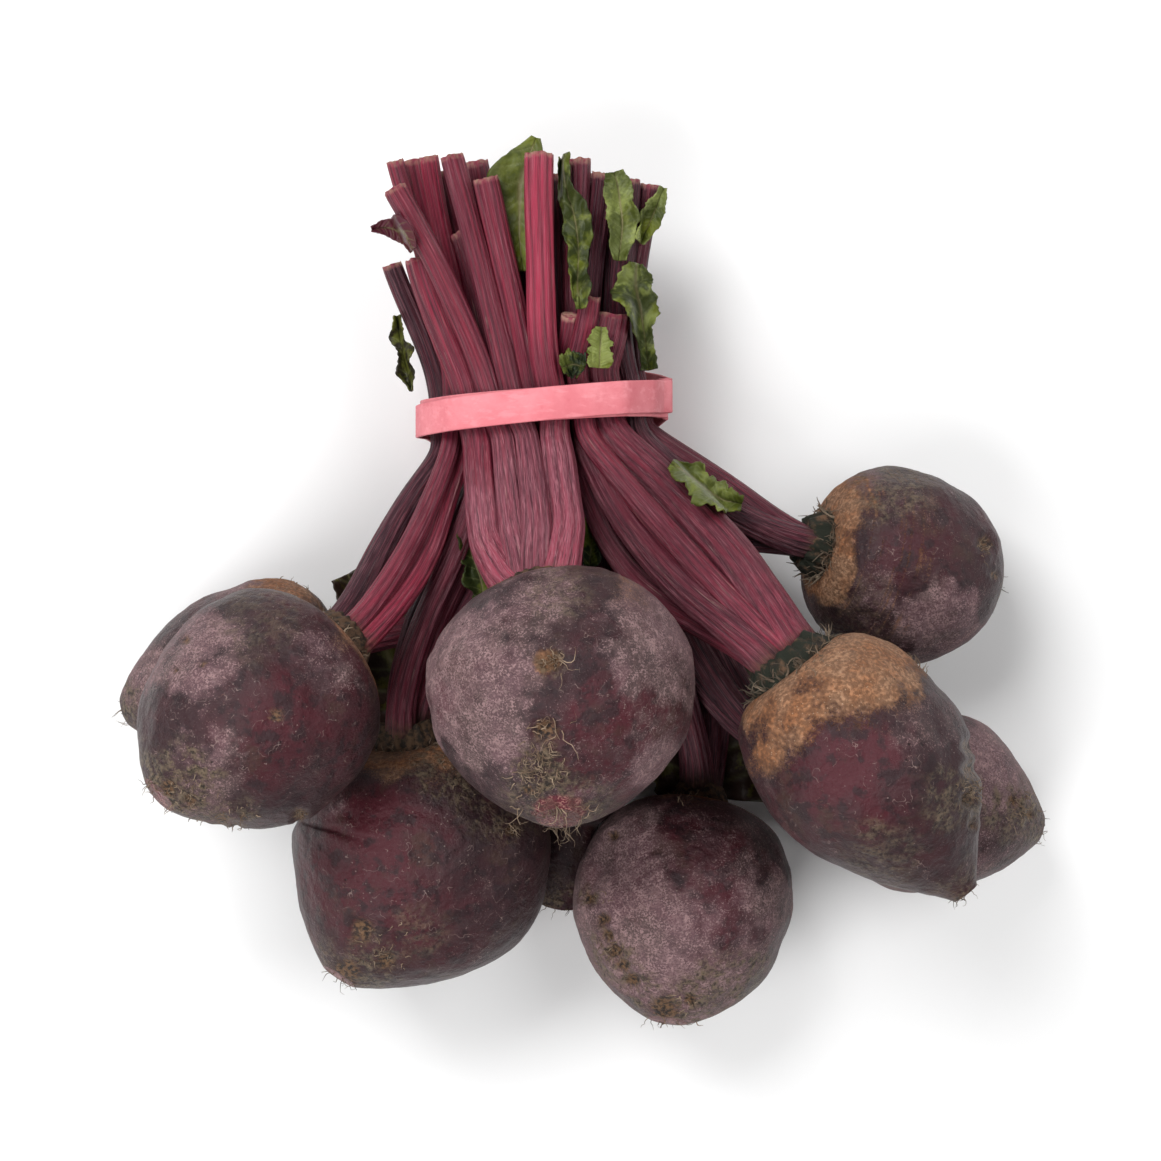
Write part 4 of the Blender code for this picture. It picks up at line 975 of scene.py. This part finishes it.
LEAF_PAINT = leaf_paint()
TOPS = np.vstack([resample(np.column_stack((route, wide)), 260) for route, wide in zip(ROUTES, RADII)])
for number, (leaf_name, leaf) in enumerate({**LEAVES, **SHADE_SHEETS}.items()):
    middle = curve_through(np.column_stack((leaf.midline, leaf.half_widths)), BLADE_STEPS)
    heading = np.gradient(middle[:, :2], axis=0)
    heading /= np.linalg.norm(heading, axis=1)[:, None]
    across = np.linspace(-1.0, 1.0, BLADE_SIDES)
    steps = np.arange(BLADE_STEPS)
    pale, shade, red, ragged = leaf.look
    teeth = np.array([[1.0 + 0.80 * ragged * noise.noise(Vector((s * 0.065, number * 3.7, 2.0 * side)))
                       + 0.22 * ragged * noise.noise(Vector((s * 0.30, number * 3.7, 5.0 * side)))
                       for s in steps] for side in (-1, 1)])
    edge = np.where(across[None, :] < 0, teeth[0][:, None], teeth[1][:, None])
    reach = middle[:, 2][:, None] * across[None, :] * (1.0 + (edge - 1.0) * np.abs(across)[None, :] ** 2)
    grid = np.zeros((BLADE_STEPS, BLADE_SIDES, 3))
    grid[:, :, 0] = middle[:, 0][:, None] - heading[:, 1][:, None] * reach
    grid[:, :, 1] = middle[:, 1][:, None] + heading[:, 0][:, None] * reach
    plan = grid.copy()
    grid[:, :, 2] = over_stalks(grid) + 0.7 if leaf.height is None else leaf.height
    # The blade waves, is crumpled where it is ragged, and rises a little between its veins.
    share = steps[:, None] / (BLADE_STEPS - 1)
    far = np.abs(across)[None, :]
    turn = math.tau * leaf.waves * share + np.where(across > 0, 1.7, 0.0)[None, :]
    grid[:, :, 2] += leaf.wave * far * (1.0 + np.sin(turn + 2.5 * noise_at(plan, 14.0, 3.0)))
    grid[:, :, 2] += 1.1 * leaf.wave * (1.0 + noise_at(plan, 6.0, number + 20.0)) * (0.3 + far)
    grid[:, :, 2] += 2.6 * ragged * np.abs(noise_at(plan, 5.0, number + 40.0)) * (0.5 + far)
    pitch = np.mod(share * 7.0 + far * 0.8, 1.0)
    vein = np.exp(-((far * 9.0) ** 2)) + 0.55 * np.exp(-(((pitch - 0.5) * 14.0) ** 2)) * (1.0 - far**4)
    vein = np.clip(vein + np.zeros_like(reach), 0.0, 1.0)
    grid[:, :, 2] += 0.25 * (1.0 - vein) * np.sin(pitch * math.pi) * (far < 0.98)
    count = BLADE_STEPS * BLADE_SIDES
    rib = np.maximum(np.full(reach.shape, red), 0.8 * np.exp(-((far * 14.0) ** 2)))
    values = {"pale": np.full(count, pale), "shade": np.full(count, shade), "vein": vein.reshape(-1),
              "red": rib.reshape(-1)}
    faces = grid_faces(BLADE_STEPS, BLADE_SIDES, ring=False)
    made = plain_mesh("beet_" + leaf_name, grid.reshape(-1, 3), faces, LEAF_PAINT, values)
    solid = made.modifiers.new("Thickness", "SOLIDIFY")
    solid.thickness = 0.45 * MM
    solid.offset = 0.0
    bake(made)
    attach(made, "root")
    if leaf_name in LEAVES:
        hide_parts(leaf_name)

# The rubber band: one flat salmon pink loop wound twice round the bundle. In front the second turn lies
# almost on the first, whose edge shows above at the left and below at the right; behind, they lie side by
# side.
BAND_THICKNESS = 1.0
BAND_STEPS = 190
BAND_WANDER = 0.9
BAND_SLACK = 0.8


def strand_place(turns):
    """Where the strand is after some turns: its lift off the bundle and its shift along the stalks."""
    phase = (turns * math.pi + math.pi) % math.tau - math.pi
    to_front = min(abs(phase), math.pi - abs(phase))
    side = 1.0 if phase > 0 else -1.0
    apart = (BAND_WIDTH + 0.7) / 2
    shift = BAND_WANDER * min(to_front / 0.9, 1.0)
    shift += (apart - BAND_WANDER) * soft(to_front, 0.85, 1.2)
    lift = 0.0
    if abs(phase) < math.pi / 2:
        lift = (BAND_THICKNESS + GAP) * (1.0 - soft(to_front, 1.2, 1.5))
    return lift, side * shift


def hull_at_band(routes, radii):
    """The bundle's outline under the band, wider behind, where its two strands lie side by side."""
    circles = []
    for route, wide in zip(routes, radii):
        line = resample(np.column_stack((route, wide)), 400)
        circles.append(line[np.abs(line[:, 1] - band_centre_y(line[:, 0])) < BAND_WIDTH + 1.5])
    circles = np.vstack(circles)
    past = np.abs(circles[:, 1] - band_centre_y(circles[:, 0]))
    outline = []
    for degrees in np.arange(0.0, 360.0, 0.5):
        out = np.array((math.sin(math.radians(degrees)), math.cos(math.radians(degrees))))
        from_front = min(degrees, 360.0 - degrees)
        half = BAND_WIDTH / 2 + BAND_WANDER + 0.4 + soft(from_front, 70.0, 120.0) * BAND_WIDTH / 2
        reach = circles[:, 0] * out[0] + circles[:, 2] * out[1] + circles[:, 3]
        best = circles[np.where(past < half, reach, -1e9).argmax()]
        outline.append(best[[0, 2]] + out * (best[3] + GAP + BAND_SLACK))
    outline.append(outline[0])
    return resample(np.column_stack((outline, np.zeros(len(outline)))), 721)[:, :2]


def band_skin(outline):
    """The band's skin as points and faces, its section rounded at the edges."""
    half_width, half_thick, corner = BAND_WIDTH / 2, BAND_THICKNESS / 2, 0.38
    section = []
    for x, y, first in ((1, 1, 0.0), (-1, 1, 90.0), (-1, -1, 180.0), (1, -1, 270.0)):
        for degrees in np.linspace(first, first + 90.0, 5):
            section.append((x * (half_width - corner) + corner * math.cos(math.radians(degrees)),
                            y * (half_thick - corner) + corner * math.sin(math.radians(degrees))))
    points = []
    count = len(outline) - 1
    for step in range(BAND_STEPS * 2):
        turns = step / BAND_STEPS
        spot = turns % 1.0 * count
        low = int(spot)
        here = outline[low] + (outline[low + 1] - outline[low]) * (spot - low)
        before = outline[(low - 12) % count]
        after = outline[(low + 13) % count]
        along = (after - before) / np.linalg.norm(after - before)
        out = np.array((-along[1], along[0]))
        lift, shift = strand_place(turns)
        for wide, thick in section:
            flat = here + out * (lift + half_thick + thick)
            points.append((flat[0], band_centre_y(here[0]) + shift + wide, flat[1]))
    return points, grid_faces(BAND_STEPS * 2, len(section), flip=True, loop=True)


def band_paint():
    rubber = Finish("pink_rubber_finish")
    broad = rubber.patchy(55.0, 0.35, 0.65, 6.0)
    rubber.colour = rubber.mix(broad, (0.650, 0.165, 0.195), (0.745, 0.240, 0.270))
    drawn_out = node(rubber.tree, "ShaderNodeMapping", {"Vector": rubber.place, "Scale": (0.25, 1.0, 1.0)})
    rubber.coat((0.860, 0.360, 0.390), rubber.patchy(420.0, 0.50, 0.66, 4.0, drawn_out.outputs[0]), 0.30)
    rubber.coat((0.560, 0.100, 0.130), rubber.patchy(190.0, 0.58, 0.70, 6.0), 0.35)
    return rubber.done(0.62, 0.35, rubber.patchy(900.0, 0.3, 0.7, 5.0), 0.3, 0.0002)


band_points, band_faces = band_skin(hull_at_band(ROUTES, RADII))
made = plain_mesh("beet_rubber_band", band_points, band_faces, band_paint())
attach(made, "root")
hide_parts("rubber_band")

# The fibres: dead roots and hairs left on the skins, in tufts at the scars and tips, and the frayed brown
# fringe round every crown. Geometry Nodes turn drawn lines into tapered threads.
# Each tuft: where it shows in the photograph, how far it spreads, how many threads it has, their length, how
# dark they are, and their lean.
FIBRES = {
    "front_top": ((553, 656, 8, 10, 8, 0, (0.6, -1)), (552, 662, 12, 26, 3, 0.4, (0, 0)),
                  (560, 668, 4, 4, 11, 0, (0.9, -1)), (540, 730, 10, 14, 6, 0, (1, 0.35)),
                  (558, 731, 8, 6, 10, 0, (1, -0.25)), (546, 742, 10, 22, 5.5, 0.1, (0.1, -1)),
                  (540, 770, 26, 110, 3.6, 0.3, (0, 0)), (562, 822, 16, 26, 8, 0.5, (0.1, -1)),
                  (520, 808, 10, 4, 8, 0.2, (-0.7, -0.8)), (592, 808, 4, 4, 8, 0, (0.4, -1))),
    "left_top": ((185, 795, 26, 60, 3, 0.4, (0, 0)), (300, 815, 8, 16, 2.5, 0.5, (0, 0)),
                 (235, 820, 20, 30, 2.5, 0.4, (0, -0.4))),
    "left_low": ((290, 585, 20, 16, 2.5, 0.2, (0, 0)),),
    "front_left": ((512, 828, 8, 24, 4.5, 0.3, (0.2, -1)), (382, 952, 26, 40, 3, 0.4, (0, 0)),
                   (452, 765, 24, 24, 2, 0.2, (0, 0))),
    "front": ((612, 945, 16, 40, 3, 0.4, (0.2, -0.4)), (600, 900, 12, 14, 3, 0.1, (0.8, 0.6)),
              (690, 1000, 20, 20, 3, 0.3, (0, -0.5)), (688, 797, 16, 14, 3, 0.4, (-0.6, 0.6))),
    "right_top": ((970, 790, 14, 60, 3.5, 0.5, (0.3, -0.6)), (925, 655, 14, 14, 3.5, 0.2, (0.2, 0.6)),
                  (800, 650, 26, 60, 4.5, 0.9, (0, 0))),
    "right_low": ((1018, 806, 14, 50, 4, 0.3, (0.2, -0.6)),),
    "right_back": ((985, 550, 10, 22, 3, 0.4, (0.5, -0.3)), (815, 545, 22, 60, 4, 0.5, (-0.6, 0))),
}
# Each crown's fringe: how many shreds, their length, and how dark they are.
FRINGES = {
    "front_top": (46, 3.0, 0.5), "left_top": (70, 4.5, 0.35), "left_low": (50, 4.5, 0.2),
    "front_left": (50, 4.0, 0.5), "front": (36, 3.0, 0.3), "middle": (24, 3.0, 0.5),
    "right_top": (110, 7.0, 0.9), "right_low": (40, 4.0, 0.5), "right_back": (110, 6.5, 0.75),
}


def fibre_paint():
    fibre = Finish("dried_fibre")
    fibre.colour = fibre.mix(fibre.patchy(260.0, 0.36, 0.62), (0.370, 0.270, 0.185), (0.170, 0.105, 0.066))
    fibre.coat((0.020, 0.019, 0.013), fibre.own("dark"))
    return fibre.done(0.85)


def thread_tree(paint):
    """Geometry Nodes: lines with a thick value on their points become tapered threads."""
    tree = bpy.data.node_groups.new("threads_from_lines", "GeometryNodeTree")
    tree.interface.new_socket("Geometry", in_out="INPUT", socket_type="NodeSocketGeometry")
    width = tree.interface.new_socket("Width", in_out="INPUT", socket_type="NodeSocketFloat")
    width.default_value = 1.0
    sides = tree.interface.new_socket("Sides", in_out="INPUT", socket_type="NodeSocketInt")
    sides.default_value = 5
    tree.interface.new_socket("Geometry", in_out="OUTPUT", socket_type="NodeSocketGeometry")
    into = tree.nodes.new("NodeGroupInput").outputs
    curve = node(tree, "GeometryNodeMeshToCurve", {"Mesh": into["Geometry"]}).outputs["Curve"]
    thick = node(tree, "GeometryNodeInputNamedAttribute", {"Name": "thick"}, data_type="FLOAT")
    scale = node(tree, "ShaderNodeMath", {0: thick.outputs["Attribute"], 1: into["Width"]},
                 operation="MULTIPLY")
    profile = node(tree, "GeometryNodeCurvePrimitiveCircle", {"Resolution": into["Sides"], "Radius": MM})
    tube = node(tree, "GeometryNodeCurveToMesh", {"Curve": curve, "Profile Curve": profile.outputs["Curve"],
                                                  "Scale": scale.outputs[0], "Fill Caps": True})
    real = node(tree, "GeometryNodeRealizeInstances", {"Geometry": tube.outputs["Mesh"]})
    painted = node(tree, "GeometryNodeSetMaterial", {"Geometry": real.outputs["Geometry"], "Material": paint})
    out = tree.nodes.new("NodeGroupOutput")
    tree.links.new(painted.outputs["Geometry"], out.inputs["Geometry"])
    return tree, width.identifier, sides.identifier


THREADS, WIDTH_INPUT, SIDES_INPUT = thread_tree(fibre_paint())
THREAD_STEPS = 9
TIP_THREADS = 16  # the root hairs round every tip


def thread(start, heading, length, thick, dark, random, curl):
    """One wandering thread as points with their thickness and darkness."""
    point, direction = np.array(start, float), unit(heading)
    line = []
    for step in range(THREAD_STEPS):
        taper = 1.0 - 0.8 * step / (THREAD_STEPS - 1)
        line.append((*point, thick * taper, dark))
        direction = unit(direction + random.normal(0.0, curl, 3))
        point = point + direction * length / (THREAD_STEPS - 1)
        point[2] = max(point[2], 0.3)
    return line


for root_name, root in ROOTS.items():
    random = np.random.default_rng(sum(ord(letter) for letter in root_name))
    grid, normal, shown = ROOT_SURFACES[root_name]
    lines = []
    for u, v, spread, count, length, dark, lean in FIBRES.get(root_name, ()):
        for _ in range(count):
            at = np.array((u, v)) + random.normal(0.0, spread / 2, 2)
            far = np.hypot(shown[:, :, 0] - at[0], shown[:, :, 1] - at[1]) + 1e3 * (normal[:, :, 2] < -0.1)
            i, j = np.unravel_index(far.argmin(), far.shape)
            out = normal[i, j]
            heading = unit(random.normal(0.0, 1.0, 3))
            heading = heading * 0.6 + np.array((*lean, 0.0)) * 1.2
            heading = heading - out * heading.dot(out) * 0.8 + out * 0.40
            lines.append(thread(grid[i, j] - out * 0.2, heading, length * random.uniform(0.5, 1.2),
                                random.uniform(0.10, 0.22), dark * random.uniform(0.3, 1.0), random, 0.45))
    along, across, up = root_frame(root, 1.0)
    for _ in range(TIP_THREADS):
        turn = random.uniform(0.0, math.tau)
        out = across * math.cos(turn) + up * math.sin(turn)
        reach = root.tip_radius * random.uniform(0.3, 1.1)
        lines.append(thread(np.array(root.centre) + along * (root.tail - 0.8) + out * reach,
                            along + out * random.uniform(-0.2, 1.0), random.uniform(2.0, 6.0),
                            random.uniform(0.10, 0.24), random.uniform(0.2, 0.8), random, 0.4))
    along, across, up = root_frame(root, -1.0)
    shreds, length, dark = FRINGES[root_name]
    for _ in range(shreds):
        turn = random.uniform(0.0, math.tau)
        out = across * math.cos(turn) + up * math.sin(turn)
        reach = root.crown_radius * random.uniform(0.86, 1.04)
        lines.append(thread(np.array(root.centre) - along * (root.crown - 0.2) + out * reach,
                            out * random.uniform(-0.1, 0.9) - along * random.uniform(0.2, 1.0),
                            length * random.uniform(0.4, 1.1), random.uniform(0.18, 0.5),
                            dark * random.uniform(0.5, 1.0), random, 0.30))
    points = packed([point for line in lines for point in line])
    edges = [(k, k + 1) for k in range(len(points) - 1) if (k + 1) % THREAD_STEPS]
    mesh = bpy.data.meshes.new("beet_fibres_" + root_name)
    mesh.from_pydata((points[:, :3] * MM).tolist(), edges, [])
    for key, column in (("thick", 3), ("dark", 4)):
        mesh.attributes.new(key, "FLOAT", "POINT").data.foreach_set("value", points[:, column].copy())
    made = add_object("beet_fibres_" + root_name, mesh)
    threads = made.modifiers.new("Threads", "NODES")
    threads.node_group = THREADS
    threads[WIDTH_INPUT] = 1.0
    threads[SIDES_INPUT] = 5
    bake(made)
    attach(made, "root")

# The floor, light and camera: a plain white surface under big soft lights, the strongest from above and a
# little to the left, and a camera straight above the bunch, as in the photograph.
bpy.ops.mesh.primitive_plane_add(size=4.0, location=(0.0, 0.0, -0.0004))
floor = bpy.context.object
floor.name = "floor"
floor_paint = bpy.data.materials.new("white_floor")
floor_paint.use_nodes = True
floor_shader = floor_paint.node_tree.nodes["Principled BSDF"]
floor_shader.inputs["Base Color"].default_value = (0.90, 0.90, 0.90, 1.0)
floor_shader.inputs["Roughness"].default_value = 0.9
floor.data.materials.append(floor_paint)


def soft_light(name, place, target, size, power):
    light = bpy.data.lights.new(name, "AREA")
    light.shape = "SQUARE"
    light.size = size
    light.energy = power
    made = add_object(name, light)
    made.location = place
    made.rotation_euler = (Vector(target) - Vector(place)).to_track_quat("-Z", "Y").to_euler()


soft_light("key", (-0.50, 0.70, 1.10), (0.0, 0.0, 0.03), 0.7, 14.0)
soft_light("fill", (0.80, 0.20, 1.05), (0.0, 0.0, 0.03), 0.9, 7.5)
soft_light("front", (-0.60, -0.70, 1.10), (0.0, 0.0, 0.04), 0.9, 13.0)
world = bpy.data.worlds.new("studio")
world.use_nodes = True
world.node_tree.nodes["Background"].inputs["Color"].default_value = (1.0, 1.0, 1.0, 1.0)
world.node_tree.nodes["Background"].inputs["Strength"].default_value = 0.17
bpy.context.scene.world = world
bpy.context.scene.view_settings.view_transform = "Standard"

camera = bpy.data.cameras.new("camera")
camera.lens = LENS
camera.sensor_width = SENSOR
seen_from = add_object("camera", camera)
seen_from.location = ((CAMERA[0] - MIDDLE[0]) * MM, (CAMERA[1] - MIDDLE[1]) * MM, CAMERA[2] * MM)
bpy.context.scene.camera = seen_from
